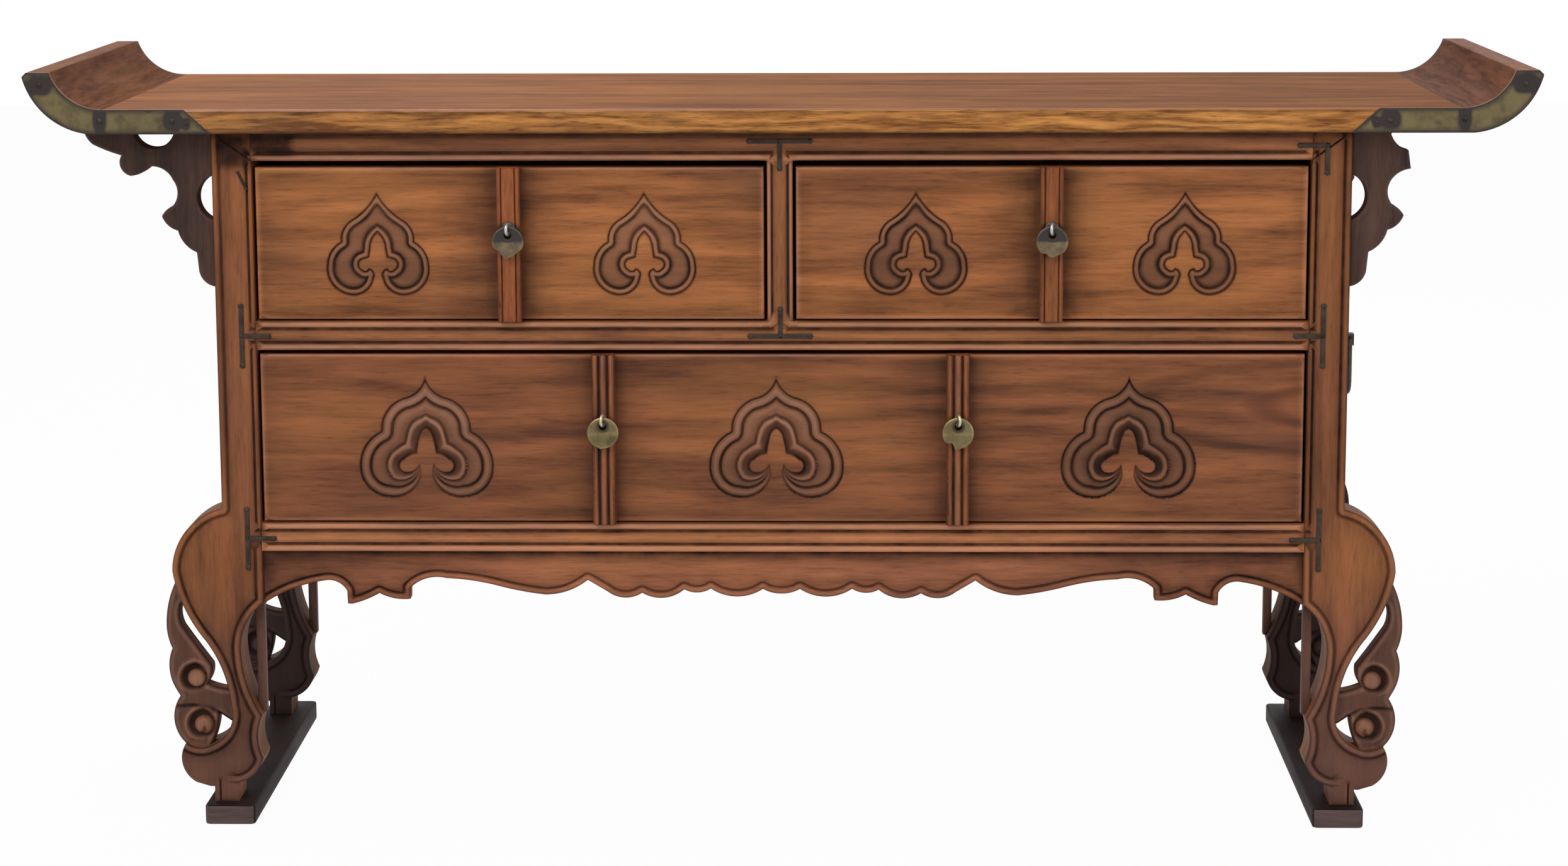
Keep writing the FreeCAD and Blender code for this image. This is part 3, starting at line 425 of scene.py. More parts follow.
def mirrored(mesh):
    """A copy for the other side of the chest."""
    turned = mesh.copy()
    turned.transform(Matrix.Scale(-1, 4, (1, 0, 0)))
    turned.flip_normals()
    return turned


def moved(mesh, back):
    """A copy set further back, in metres."""
    shifted = mesh.copy()
    shifted.transform(Matrix.Translation((0, back, 0)))
    return shifted


def joined(*meshes):
    """One mesh out of several."""
    shape = bmesh.new()
    for mesh in meshes:
        shape.from_mesh(mesh)
    return mesh_of(shape)


def in_mm(node):
    """The lowest and highest corner of a CAD node in mm."""
    low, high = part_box(node)
    return [value * 1000 for value in low], [value * 1000 for value in high]


leg_low, leg_high = in_mm("leg_front_right")
post_inner = leg_low[0]
post_outer = post_inner + 32.5
foot_level = leg_low[2]
frame_top = leg_high[2]
frame_front = leg_low[1]


def beside(out, up):
    """A point by how far it lies outside the post and above the sled foot, in mm."""
    return post_outer + out, foot_level + up


def within_leg(out, up):
    """A point by how far it lies from the post's inner line and above the sled foot, in mm."""
    return post_inner + out, foot_level + up


neck_out, neck_width, neck_rise = 13, 20, 13
leg_outline_steps = placed(
    beside,
    (0, 251),
    (27, 236, 43, 198),
    (37, 174, 17.5, 139),
    (2, 108, -2.8, 82),
    (1, 59.5, 15.5, 48),
    (24.5, 46, 36, 50.5),
    (40, 35, 28, 16.5),
    (neck_out + 3.5, neck_rise),
    (neck_out, neck_rise),
    (neck_out, 0),
    (neck_out - neck_width, 0),
    (neck_out - neck_width, neck_rise),
)
leg_outline_steps += placed(
    within_leg,
    (25, 16.5),
    (9.5, 26, 4.4, 37),
    (8.3, 56, 4.3, 73.5),
    (16, 99.5, 20.6, 126),
    (16, 152, 0, 171),
)
rail_levels = {name: in_mm(name + "_front") for name in ("top_rail", "middle_rail", "bottom_rail")}
bottom_rail_base = rail_levels["bottom_rail"][0][2]
# The inner edge has a corner every 8 mm, in step with the rows of its bead
inner_stations = [(post_inner, level) for level in range(192, int(frame_top), 8)] + [(post_inner, frame_top)]
leg_outline = traced((post_inner, frame_top), [(post_outer, frame_top)] + leg_outline_steps + inner_stations,
                     straight=8.0)
outer_edge = between(leg_outline, beside(36, 50.5), (post_outer, frame_top))
inner_edge = between(leg_outline, (post_inner, bottom_rail_base), within_leg(25, 16.5))

# Drawer openings as left, right, low and high
half_post = in_mm("centre_post")[1][0]
lower_floor = rail_levels["bottom_rail"][1][2]
lower_ceiling = rail_levels["middle_rail"][0][2]
upper_floor = rail_levels["middle_rail"][1][2]
upper_ceiling = rail_levels["top_rail"][0][2]
openings = [
    (-post_inner, post_inner, lower_floor, lower_ceiling),
    (-post_inner, -half_post, upper_floor, upper_ceiling),
    (half_post, post_inner, upper_floor, upper_ceiling),
]
upright_bead = 3.2
level_bead = 5.0


def bead_reach(points, spaces):
    """How many bead widths each point stands off the nearest opening, square at the corners."""
    nearest = np.full(len(points), np.inf)
    for left, right, low, high in spaces:
        across = np.abs(points[:, 0] - (left + right) / 2) - (right - left) / 2
        up = np.abs(points[:, 1] - (low + high) / 2) - (high - low) / 2
        nearest = np.minimum(nearest, np.maximum(across / upright_bead, up / level_bead))
    return nearest


def bead_rows(spaces, low, high, pace=8.0):
    """Rows of points that frame the openings, in step with each other, kept to one board's corners."""
    rows = []
    for left, right, floor, ceiling in spaces:
        for reach in (0.12, 0.3, 0.5, 0.7, 0.88, 1.0, 1.12, 1.42, 1.62, 2.3):
            x0, x1 = left - reach * upright_bead, right + reach * upright_bead
            z0, z1 = floor - reach * level_bead, ceiling + reach * level_bead
            across = np.arange(math.ceil(x0 / pace), x1 / pace) * pace
            up = np.arange(math.ceil(z0 / pace), z1 / pace) * pace
            for level in (z0, z1):
                stations = np.concatenate([[x0], across, [x1]])
                rows.append(np.stack([stations, np.full(len(stations), level)], 1))
            for line in (x0, x1):
                rows.append(np.stack([np.full(len(up), line), up], 1))
    rows = np.vstack(rows)
    clear = ((rows > np.array(low) + 0.1) & (rows < np.array(high) - 0.1)).all(1)
    return rows[clear]


def framing(reach):
    """Depth, and painted shade and highlight with age, of the bead and groove round an opening, by bead
    widths from it.
    """
    marks = [0.0, 0.12, 0.5, 0.88, 1.0, 1.12, 1.42, 1.62, 2.3]
    depth = np.interp(reach, marks, [1.4, 0.55, 0.0, 0.45, 1.0, 1.9, 1.9, 0.3, 0.0])
    age = np.interp(reach, marks, [-0.7, -0.1, 0.75, 0.2, -0.4, -0.85, -0.85, -0.4, 0.0])
    return depth, age


def edging(distance):
    """Depth, and painted shade and highlight with age, of the bead and groove along a carved edge, by mm from
    it.
    """
    marks = [0.0, 0.5, 1.4, 2.6, 3.8, 4.8, 5.5, 6.5, 7.3, 9.0, 16.0]
    depth = np.interp(distance, marks, [1.7, 0.9, 0.25, 0.0, 0.25, 0.9, 2.0, 2.0, 0.7, 0.2, 0.0])
    age = np.interp(distance, marks, [-0.6, -0.25, 0.08, 0.2, 0.08, -0.25, -0.62, -0.62, -0.35, -0.18, 0.0])
    return depth, age


edge_rows = (0.5, 1.4, 2.6, 3.8, 4.8, 5.5, 6.5, 7.3, 9.0)
mitre = np.array([(post_outer - 7.5, frame_top - 5.5), (post_inner + 0.6, upper_ceiling + 0.6)])
neck_line = np.array([beside(neck_out - 5, 1), beside(neck_out - 5, neck_rise + 4)])


def leg_relief(points):
    """Depth, painted shade and highlight with age, and bareness of a leg's face: beads, grooves, the mitre
    and the line beside the neck.
    """
    distance = np.minimum(edge_distance(points, outer_edge, False), edge_distance(points, inner_edge, False))
    depth, age = edging(distance)
    reach = bead_reach(points, openings)
    bead_depth, bead_light_and_age = framing(reach)
    depth = np.maximum(depth, bead_depth)
    age = np.where(reach < 2.3, np.minimum(age, bead_light_and_age), age)
    depth = np.maximum(depth, np.interp(edge_distance(points, leg_outline), [0, 0.5, 1.3], [1.5, 0.6, 0.0]))
    for line in (mitre, neck_line):
        scribed = edge_distance(points, line, False)
        depth = np.maximum(depth, np.interp(scribed, [0, 0.5, 1.0], [1.3, 0.8, 0.0]))
        age = np.minimum(age, np.interp(scribed, [0, 0.5, 1.1], [-0.95, -0.7, 0.4]))
    # Painted shadow darkens the top of the post under the overhanging top
    age = age + np.interp(frame_top - points[:, 1], [0, 4.5, 7], [-0.6, -0.45, 0])
    # Nearer the floor the wax has gone and the wood is greyer
    bare = np.interp(points[:, 1], [60, 220], [1.0, 0.0])
    # Painted shade darkens the post's bead towards its top
    shaded_post_bead = np.interp(points[:, 1], [250, 300], [0.0, 0.3]) * np.interp(distance, [4, 7], [1.0, 0.0])
    return depth, age - 0.15 * bare - shaded_post_bead, bare


def shifted_light_and_age(mesh, low, high, fade, darker):
    """Darkens a mesh's painted light and age between two corners (x, z) in mm, fading out beyond them alike
    or by (x, z).
    """
    spots = np.empty(len(mesh.vertices) * 3)
    mesh.vertices.foreach_get("co", spots)
    spots = spots.reshape(-1, 3)[:, [0, 2]] * 1000
    beyond = (np.maximum(np.array(low) - spots, spots - np.array(high)) / np.array(fade)).max(1)
    lights_and_ages = np.empty(len(spots), np.float32)
    mesh.attributes["age"].data.foreach_get("value", lights_and_ages)
    lights_and_ages = lights_and_ages - np.interp(beyond, [0, 1], [darker, 0]).astype(np.float32)
    mesh.attributes["age"].data.foreach_set("value", lights_and_ages)
    return mesh


def painted_shade_front(mesh):
    """Gives the side that looks to the front the first finish, and the rest the second."""
    for face in mesh.polygons:
        face.material_index = 0 if face.normal.y < -0.3 else 1
    return mesh


scribed_rows = [rows_beside(np.linspace(line[0], line[1], 14), (-1.0, -0.5, 0.001, 0.5, 1.0), False)
                for line in (mitre, neck_line)]
leg_field = filling(leg_outline, 1.5, 5.0)
for line in (outer_edge, inner_edge):
    leg_field = leg_field[edge_distance(leg_field, line, False) > edge_rows[-1] + 1]
leg_field = leg_field[bead_reach(leg_field, openings) > 2.4]
leg_mesh = carved(leg_outline, frame_front, leg_high[1], leg_relief, [
    rows_beside(outer_edge, edge_rows, False),
    rows_beside(inner_edge, edge_rows, False),
    bead_rows(openings, (post_inner, bottom_rail_base), (post_outer, frame_top)),
    leg_field,
] + scribed_rows)
leg_wood = wood("leg_wood", "Z", "X", tone(88, 51, 30), tone(158, 96, 58), figure=0.3,
                cut_tone=tone(100, 72, 67))
# A near-black copy of the leg wood is painted shade on the front faces of the rear legs and rear scrolls,
# under the chest; their other sides take the plain tone below
shaded_rear_wood = wood("rear_leg_wood", "Z", "X", tone(26, 17, 16), tone(54, 37, 34), figure=0.25, gloss=0.7,
                 variety=0.0, wear_and_highlight=0.2, cut_tone=tone(46, 33, 31))
bare_wood = wood("rear_leg_side_wood", "Z", "X", tone(60, 36, 24), tone(108, 68, 44), figure=0.25, gloss=0.7,
                 variety=0.15, wear_and_highlight=0.4)
rear_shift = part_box("leg_rear_right")[0][1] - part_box("leg_front_right")[0][1]
lost_strap = ((-post_outer + 8, frame_top - 26), (-post_inner - 5, frame_top - 6))
for end, back, finishes in (("front", 0.0, [leg_wood]), ("rear", rear_shift, [shaded_rear_wood, bare_wood])):
    right_mesh = moved(leg_mesh, back)
    left_mesh = mirrored(right_mesh)
    if end == "front":
        shifted_light_and_age(right_mesh, (post_inner, 300), (post_outer, frame_top), 70.0, 0.24)
        shifted_light_and_age(left_mesh, (-post_outer - 50, 60), (-post_inner, 220), 40.0, 0.27)
        shifted_light_and_age(left_mesh, *lost_strap, 7.0, 0.95)
    for side, mesh in (("left", left_mesh), ("right", right_mesh)):
        node = "leg_" + end + "_" + side
        if end == "rear":
            painted_shade_front(mesh)
        piece("carved_" + node, mesh, "carcass", [node], "frame_wood", *finishes)


# Pierced scrolls: two leafy curls of darker hardwood, each winding round a polished knob.
# They are fretted from a thin plank, carved on the front and let into the outer edge of a leg.
scroll_start = beside(36, 178)
scroll_outline = traced(scroll_start, placed(
    beside,
    (41.7, 188),
    (48.3, 170, 50.8, 150),
    (49.5, 139, 46.5, 130),
    (49.6, 115, 45, 96),
    (41, 89),
    (46.8, 73, 41, 52),
    (35, 45),
    (17.5, 43),
    (11.5, 58, 8.7, 74.3),
    (-1, 67.5),
    (-6, 67),
    (-6, 95),
    (9, 96.6, 17.8, 99.8),
    (14.2, 107, 13.9, 115.7),
    (24.2, 129.9, 37, 148.4),
    (39.5, 159, 37.8, 168.5),
    (34, 172),
) + [scroll_start], curve=1.0, straight=1.2)
# Knobs as middle and radius
knobs = [(np.array(beside(26.7, 105)), 8.0), (np.array(beside(21.5, 64.7)), 8.5)]
under_tie = np.array([beside(43, 80.4), beside(30, 81.2), beside(18, 79.8), beside(8, 75), beside(-2, 67.5)])
comma = knobs[1][0] + np.array([(1.5, -6.5), (-1.0, -4.5), (-0.5, -2.0)])


def scroll_relief(points):
    """Depth, painted shade and highlight with age, and cut of a scroll: a round back, knobs in their hollows
    and two scribed lines.
    """
    distance = edge_distance(points, scroll_outline)
    depth = np.interp(distance, [0, 0.7, 1.8, 3.2, 6.0], [2.6, 1.3, 0.5, 0.3, 0.9])
    age = np.interp(distance, [0, 0.7, 1.8, 3.2, 6.0], [-0.7, -0.3, 0.1, 0.18, -0.2])
    cut = np.ones(len(points))
    for centre, radius in knobs:
        away = points - centre
        reach = np.linalg.norm(away, axis=1)
        turn = np.degrees(np.arctan2(away[:, 1], away[:, 0]))
        # The hollow round a knob is wide above and outside it, and dies away towards the leg
        hollow = np.interp(turn, [-180, -90, -35, 0, 90, 130, 180], [0.1, 0.25, 0.9, 1.0, 1.0, 0.3, 0.1])
        wide = 0.9 + 4.0 * hollow
        share = (reach - radius) / wide
        floor = np.interp(share, [0, 0.7, 1.0, 1.3], [1.0, 1.0, 0.3, 0.0]) * (1.2 + 2.6 * hollow)
        rim = np.exp(-((reach - radius - wide - 2.2) / 1.6) ** 2) * hollow
        dome = np.interp(reach / radius, [0, 0.4, 0.7, 0.9, 1.0], [-3.0, -2.5, -1.2, 0.6, 3.0])
        knob_light_and_age = np.interp(reach / radius, [0, 0.65, 0.9, 1.0], [0.3, 0.2, -0.3, -1.0])
        # Painted shade darkens each hollow and the foot of its knob; painted highlight lightens the rim
        # beyond it and the knob's top
        dark = np.interp(share, [0, 0.6, 1.0, 1.4], [1.0, 0.95, 0.4, 0.0]) * (0.5 + 0.5 * hollow)
        depth = np.where(reach < radius, dome, np.maximum(depth, floor) - rim * 0.9)
        age = np.where(reach < radius, knob_light_and_age, age - dark + rim * 0.45)
        cut = np.where(reach < radius, 0.0, cut - rim * 0.6)
    for line in (under_tie, comma):
        off_line = edge_distance(points, line, False)
        depth = depth + np.interp(off_line, [0, 0.7, 2.2], [1.6, 1.2, 0.0])
        age = age + np.interp(off_line, [0, 0.7, 2.4], [-0.9, -0.7, 0.0])
    return depth, np.clip(age, -1, 1), cut


scroll_low, scroll_high = in_mm("wings_rear")
round_turns = np.linspace(0, math.tau, 56, endpoint=False)
knob_rows = [centre + np.stack([np.cos(round_turns), np.sin(round_turns)], 1) * radius * share
             for centre, radius in knobs for share in (0.4, 0.7, 0.9, 0.995, 1.005)]
plain_scroll = carved(scroll_outline, scroll_low[1], scroll_high[1], scroll_relief, [
    rows_beside(scroll_outline, (0.6, 1.6, 2.8, 4.2)),
    filling(scroll_outline, 0.9, 1.1),
] + knob_rows)
scroll_wood = wood("scroll_wood", "Z", "X", tone(76, 46, 33), tone(142, 92, 65), figure=0.25, variety=0.0,
                   cut_tone=tone(75, 53, 47))
front_back = in_mm("wings_front")[1][1]
front_scroll = moved(plain_scroll, (front_back - scroll_high[1]) * 0.001)
piece("scrolls_front", joined(front_scroll, mirrored(front_scroll)), "carcass", ["wings_front"], "frame_wood",
      scroll_wood)
rear_scrolls = painted_shade_front(joined(plain_scroll, mirrored(plain_scroll)))
piece("scrolls_rear", rear_scrolls, "carcass", ["wings_rear"], "frame_wood", shaded_rear_wood, bare_wood)

# Stays: four thin hardwood sticks that steady the legs.
# Each stands upright from the cusp inside a leg to the foot of the post and is wedged in place.
stay_wood = wood("stay_wood", "Z", "X", tone(58, 39, 33), tone(108, 74, 60), figure=0.25, variety=0.0)
piece("stay_sticks", eased("leg_stays", 0.0008), "carcass", ["leg_stays"], "frame_wood", stay_wood)


# Front frame: three hardwood rails and a short centre post, tenoned into the legs' posts.
# Each drawer opening has a rounded bead round it, mitred at the corners, with a groove behind, dark with soot
# and painted shade.
def plank(low, high, pace=8.0):
    """A rectangle with points in step along its sides."""
    across = np.arange(math.ceil(low[0] / pace + 0.1), high[0] / pace - 0.1) * pace
    up = np.arange(math.ceil(low[1] / pace + 0.1), high[1] / pace - 0.1) * pace
    corners = [
        low, *((x, low[1]) for x in across),
        (high[0], low[1]), *((high[0], z) for z in up),
        high, *((x, high[1]) for x in across[::-1]),
        (low[0], high[1]), *((low[0], z) for z in up[::-1]),
    ]
    return np.array(corners, float)


# The open floor under the bottom rail counts as one more opening
frame_spaces = openings + [(-post_inner, post_inner, bottom_rail_base - 400, bottom_rail_base)]


def rail_relief(points):
    depth, age = framing(bead_reach(points, frame_spaces))
    # Painted shadow darkens the top of the top rail under the overhanging top
    return depth, age - 0.05 + np.interp(frame_top - points[:, 1], [0, 4.5, 7], [-0.8, -0.7, 0])


rail_wood = wood("rail_wood", "X", "Z", tone(100, 60, 37), tone(172, 109, 69), figure=0.3, bands=11.0)
low_rail_wood = wood("bottom_rail_wood", "X", "Z", tone(128, 77, 50), tone(204, 132, 87), figure=0.3,
                     bands=11.0)
centre_wood = wood("centre_post_wood", "Z", "X", tone(90, 53, 33), tone(158, 99, 63), figure=0.25)
for node, finish in (("top_rail_front", rail_wood), ("middle_rail_front", rail_wood),
                     ("bottom_rail_front", low_rail_wood), ("centre_post", centre_wood)):
    low, high = in_mm(node)
    corner, opposite = (low[0], low[2]), (high[0], high[2])
    edge = plank(corner, opposite)
    rows = [bead_rows(frame_spaces, corner, opposite)]
    if node == "top_rail_front":
        levels = np.arange(frame_top - 7, frame_top - 1, 2)
        rows.append(np.stack(np.meshgrid(np.unique(edge[:, 0])[1:-1], levels), -1).reshape(-1, 2))
    mesh = carved(edge, frame_front, high[1], rail_relief, rows)
    if node == "top_rail_front":
        shifted_light_and_age(mesh, (-post_inner, frame_top - 16), (-post_inner + 32, frame_top - 4), 7.0, 0.9)
    piece("beaded_" + node, mesh, "carcass", [node], "frame_wood", finish)

# Apron: a scalloped hardwood board under the bottom rail, tongued between the two front legs.
# A rounded bead follows its lower edge.
apron_low, apron_high = in_mm("apron_front")
apron_end = 430


def hanging(across, drop):
    """A point by its place along the apron and how far it lies below the bottom rail, in mm."""
    return across, bottom_rail_base - drop


apron_middle = hanging(0, 36.4)
apron_tail = hanging(apron_end, 45.2)
half_apron = traced(apron_middle, placed(
    hanging,
    (8, 35.5, 15.3, 32.5),
    (37, 39, 58.5, 32.3),
    (71, 35.7, 80.5, 33),
    (98.5, 40.3, 115.5, 36),
    (127.5, 40.1, 144, 35),
    (160.5, 25.1),
    (176, 34, 196, 37.6),
    (212, 35.3, 232, 31),
    (254, 26.2, 278, 23.8),
    (297, 24.9, 308, 32),
    (308.3, 41.5),
    (320, 41.3, 334, 36.6),
    (345, 42, 357, 45.8),
    (360.5, 45.5),
    (360.8, 35),
    (366, 28.8, 379.7, 26),
    (405, 32.5, apron_end, 45.2),
    (apron_end, 0),
    (0, 0),
), straight=2.0)
half_edge = between(half_apron, apron_middle, apron_tail)
scalloped_edge = np.vstack([(half_edge * (-1, 1))[:0:-1], half_edge])
apron_outline = np.vstack([scalloped_edge, [hanging(apron_end, 0), hanging(-apron_end, 0)]])
bead_share = 1.1


def apron_relief(points):
    """Depth, painted shade and highlight with age, of the apron's face: its bead, soot and painted shade
    under the rail, and darker ends towards the legs.
    """
    depth, age = edging(edge_distance(points, scalloped_edge, False) * bead_share)
    from_end = apron_end - np.abs(points[:, 0])
    ends = np.interp(from_end, [0, 25, 90, 200, 300], [-0.55, -0.44, -0.35, -0.1, 0])
    return depth, age + np.interp(bottom_rail_base - points[:, 1], [0, 9], [-0.5, 0]) + ends


apron_wood = wood("apron_wood", "X", "Z", tone(110, 64, 43), tone(177, 110, 76), figure=0.35)
apron_mesh = carved(apron_outline, apron_low[1], apron_high[1], apron_relief, [
    rows_beside(scalloped_edge, [step / bead_share for step in edge_rows], False),
    filling(apron_outline, 9.0, 6.0),
])
piece("scalloped_apron", apron_mesh, "carcass", ["apron_front"], "frame_wood", apron_wood)

# Back and sides: plain hardwood rails tenoned between the posts, with thin boards let in between them.
# They were never waxed as the front was, so they are duller.
plain_wood = wood("plain_wood", "X", "Z", tone(80, 50, 37), tone(138, 90, 65), figure=0.4, gloss=0.68)
side_wood = wood("side_wood", "Y", "Z", tone(84, 51, 37), tone(146, 94, 67), figure=0.4, gloss=0.62)
piece("back_rails", eased("rails_rear", 0.0012), "carcass", ["rails_rear"], "frame_wood", plain_wood)
piece("back_boards", eased("back_panels", 0.0008), "carcass", ["back_panels"], "inner_wood", plain_wood)
for side in ("left", "right"):
    piece("side_rails_eased_" + side, eased("side_rails_" + side, 0.0012), "carcass", ["side_rails_" + side],
          "frame_wood", side_wood)
    piece("side_board_" + side, eased("side_panel_" + side, 0.0008), "carcass", ["side_panel_" + side],
          "frame_wood", side_wood)

# Inside: pale softwood boards that the drawers run on, with guide strips nailed beside their way.
# They are left bare and have gone brown.
inner_wood = wood("inner_wood", "X", "Y", tone(112, 80, 54), tone(170, 128, 88), figure=0.5, gloss=0.7)
guide_wood = wood("guide_wood", "Y", "X", tone(108, 76, 52), tone(160, 118, 80), figure=0.4, gloss=0.7)
for node in ("upper_dust_board", "lower_dust_board"):
    piece(node + "_eased", eased(node, 0.0008), "carcass", [node], "inner_wood", inner_wood)
for node in ("upper_guides", "lower_guides"):
    piece(node + "_eased", eased(node, 0.0008), "carcass", [node], "inner_wood", guide_wood)


# Brackets: leafy fretwork of near-black hardwood in the corners under the overhanging top.
# Each is glued to the post and the top; the outer arm of the right front one has broken off.
def below_top(out, drop):
    """A point by how far it lies outside the post and below the top, in mm."""
    return post_outer + out, frame_top - drop


bracket_foot = below_top(0, 128.5)
bracket_leaves = placed(
    below_top,
    (11, 122.5, 14.3, 113),
    (15.5, 100),
    (25, 93, 30.5, 82),
    (40, 76, 43.3, 70),
    (40, 65.5, 34, 61.5),
    (30, 52, 33.5, 40),
)
whole_arm = placed(
    below_top,
    (41, 31.5, 51.5, 29),
    (60, 35, 68, 36.8),
    (76.2, 29, 75, 20),
    (88, 15.5, 98, 11),
    (102.5, 6, 105, 0),
    (65, 0),
    (48, 14, 31, 0),
)
broken_arm = placed(below_top, (40, 34.5, 48.2, 32), (46, 17), (37, 12.2, 31, 0))
bracket_root = placed(below_top, (0, 0), (0, 36.5), (13.5, 55, 0, 73.5)) + [bracket_foot]


def bracket(arm, node):
    """A right-hand bracket with the given outer arm."""
    low, high = in_mm(node)
    outline = traced(bracket_foot, bracket_leaves + arm + bracket_root, straight=2.0)

    def relief(points):
        distance = edge_distance(points, outline)
        depth = np.interp(distance, [0, 0.5, 1.2, 2.2, 4.0], [1.5, 0.7, 0.2, 0.0, 0.15])
        age = np.interp(distance, [0, 0.8, 1.8, 3.0, 7.0], [-0.1, 0.08, 0.0, -0.3, -0.1])
        return depth, age

    return carved(outline, low[1], high[1], relief,
                  [rows_beside(outline, (0.5, 1.2, 2.2, 4.0)), filling(outline, 4.5, 4.0)])


bracket_wood = wood("bracket_wood", "Z", "X", tone(40, 28, 25), tone(86, 61, 51), figure=0.25, variety=0.0)
front_brackets = joined(mirrored(bracket(whole_arm, "brackets_front")), bracket(broken_arm, "brackets_front"))
piece("front_brackets", front_brackets, "carcass", ["brackets_front"], "frame_wood", bracket_wood)
rear_bracket = bracket(whole_arm, "brackets_rear")
rear_brackets = joined(rear_bracket, mirrored(rear_bracket))
piece("rear_brackets", rear_brackets, "carcass", ["brackets_rear"], "frame_wood", bracket_wood)


# Iron straps: small T and L bars of hammered iron nailed over the joints of the front frame.
# The one at the upper left has gone, all but a bent scrap.
def metal(name, dull, bright, tarnish, rough, speckle=90.0):
    """Old metal: brushed patches of dull and bright, with tarnish in spots, tarnish and painted shade where
    age is low, and wear where it is high.
    """
    finish = Finish(bpy.data.materials.new(name))
    spot = finish.node("ShaderNodeTexCoord", output="Object")
    cloud = finish.noise(spot, speckle, 4.0, 0.6)
    grain = finish.noise(spot, 900.0, 2.0, 0.6)
    age = finish.node("ShaderNodeAttribute", {"attribute_name": "age"}, {}, "Fac")
    colour = finish.blend(finish.span(cloud, 0.35, 0.65), dull, bright)
    dark = finish.span(cloud * 0.8 - age, 0.3, 0.9)
    colour = finish.blend(dark, colour, tarnish)
    colour = finish.blend(finish.span(age, 0.0, 1.0) * 0.7, colour, bright)
    hammered = cloud + grain * 0.3
    bump = finish.node("ShaderNodeBump", {}, {"Strength": 0.3, "Distance": 0.0003, "Height": hammered})
    return finish.laid(**{"Base Color": colour, "Metallic": 0.9 - dark * 0.5, "Roughness": rough + dark * 0.2,
                          "Normal": bump})


def add_bar(shape, low, high, ease):
    """A flat bar with its arrises hammered round, between two corners in metres."""
    made = bmesh.ops.create_cube(shape, size=1.0)["verts"]
    for corner in made:
        corner.co = [low[axis] if corner.co[axis] < 0 else high[axis] for axis in range(3)]
    edges = {edge for corner in made for edge in corner.link_edges}
    return bmesh.ops.bevel(shape, geom=list(edges), offset=ease, segments=2, profile=0.6, affect="EDGES",
                           clamp_overlap=True)["verts"]


def nail_heads(name, spots, radius, height, finish):
    """Domed nail heads on a row of spots, each (x, y, z, share of the size), set out by a node tree."""
    tree = bpy.data.node_groups.new(name + "_tree", "GeometryNodeTree")
    inputs = {
        "Spots": "NodeSocketGeometry",
        "Head Radius": "NodeSocketFloat",
        "Head Height": "NodeSocketFloat",
        "Metal": "NodeSocketMaterial",
    }
    for label, kind in inputs.items():
        tree.interface.new_socket(label, in_out="INPUT", socket_type=kind)
    tree.interface.new_socket("Nails", in_out="OUTPUT", socket_type="NodeSocketGeometry")
    nails = Nodes(tree)
    given = {label: nails.node("NodeGroupInput", output=label) for label in inputs}
    ball = nails.node("GeometryNodeMeshUVSphere", {}, {"Segments": 14, "Rings": 9, "Radius": 1.0})
    flat = nails.node("ShaderNodeCombineXYZ", {}, {
        "X": given["Head Radius"], "Y": given["Head Height"], "Z": given["Head Radius"],
    })
    dome = nails.node("GeometryNodeTransform", {}, {"Geometry": ball, "Scale": flat})
    share = nails.node("GeometryNodeInputNamedAttribute", {}, {"Name": "share"})
    tilt = nails.node("FunctionNodeRandomValue", {"data_type": "FLOAT_VECTOR"}, {
        "Min": (-0.12, -0.4, -0.12), "Max": (0.12, 0.4, 0.12), "Seed": 4,
    })
    heads = nails.node("GeometryNodeInstanceOnPoints", {}, {
        "Points": given["Spots"], "Instance": dome, "Rotation": tilt, "Scale": share,
    })
    real = nails.node("GeometryNodeRealizeInstances", {}, {"Geometry": heads})
    painted = nails.node("GeometryNodeSetMaterial", {}, {"Geometry": real, "Material": given["Metal"]})
    nails.node("NodeGroupOutput", {}, {"Nails": painted})
    points = bpy.data.meshes.new(name + "_spots")
    points.from_pydata([spot[:3] for spot in spots], [], [])
    points.attributes.new("share", "FLOAT", "POINT").data.foreach_set("value", [spot[3] for spot in spots])
    holder = bpy.data.objects.new(name + "_spots", points)
    bpy.context.scene.collection.objects.link(holder)
    setter = holder.modifiers.new("nails", "NODES")
    setter.node_group = tree
    sizes = {"Head Radius": radius, "Head Height": height, "Metal": finish}
    for item in tree.interface.items_tree:
        if item.name in sizes:
            setter[item.identifier] = sizes[item.name]
    seen = holder.evaluated_get(bpy.context.evaluated_depsgraph_get())
    mesh = bpy.data.meshes.new_from_object(seen)
    bpy.data.objects.remove(holder)
    return mesh


iron = metal("dark_iron", tone(50, 41, 36), tone(80, 68, 60), tone(32, 23, 19), 0.55)
strap_low, strap_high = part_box("joint_straps")
bar_half = 0.0019
arm_reach = 0.0245
stem_reach = 0.022
scrap_place = (-0.4376, 0.0, 0.5402)
post_line = post_inner * 0.001 + 0.0115
middle_line = (lower_ceiling + upper_floor) / 2000
bottom_line = (bottom_rail_base + lower_floor) / 2000 - 0.001
top_line = (upper_ceiling + frame_top) / 2000
straps = [
    (0.0, top_line + 0.004, [(-1, 0, arm_reach), (1, 0, arm_reach), (0, -1, stem_reach)]),
    (0.0, middle_line, [(-1, 0, arm_reach), (1, 0, arm_reach), (0, 1, stem_reach)]),
    (post_inner * 0.001 + 0.012, top_line, [(-1, 0, stem_reach), (0, -1, stem_reach)]),
]
for side in (-1, 1):
    for level in (middle_line, bottom_line):
        straps.append((side * post_line, level,
                       [(0, -1, arm_reach), (0, 1, arm_reach), (-side, 0, stem_reach)]))
bars = bmesh.new()
strap_nails = []
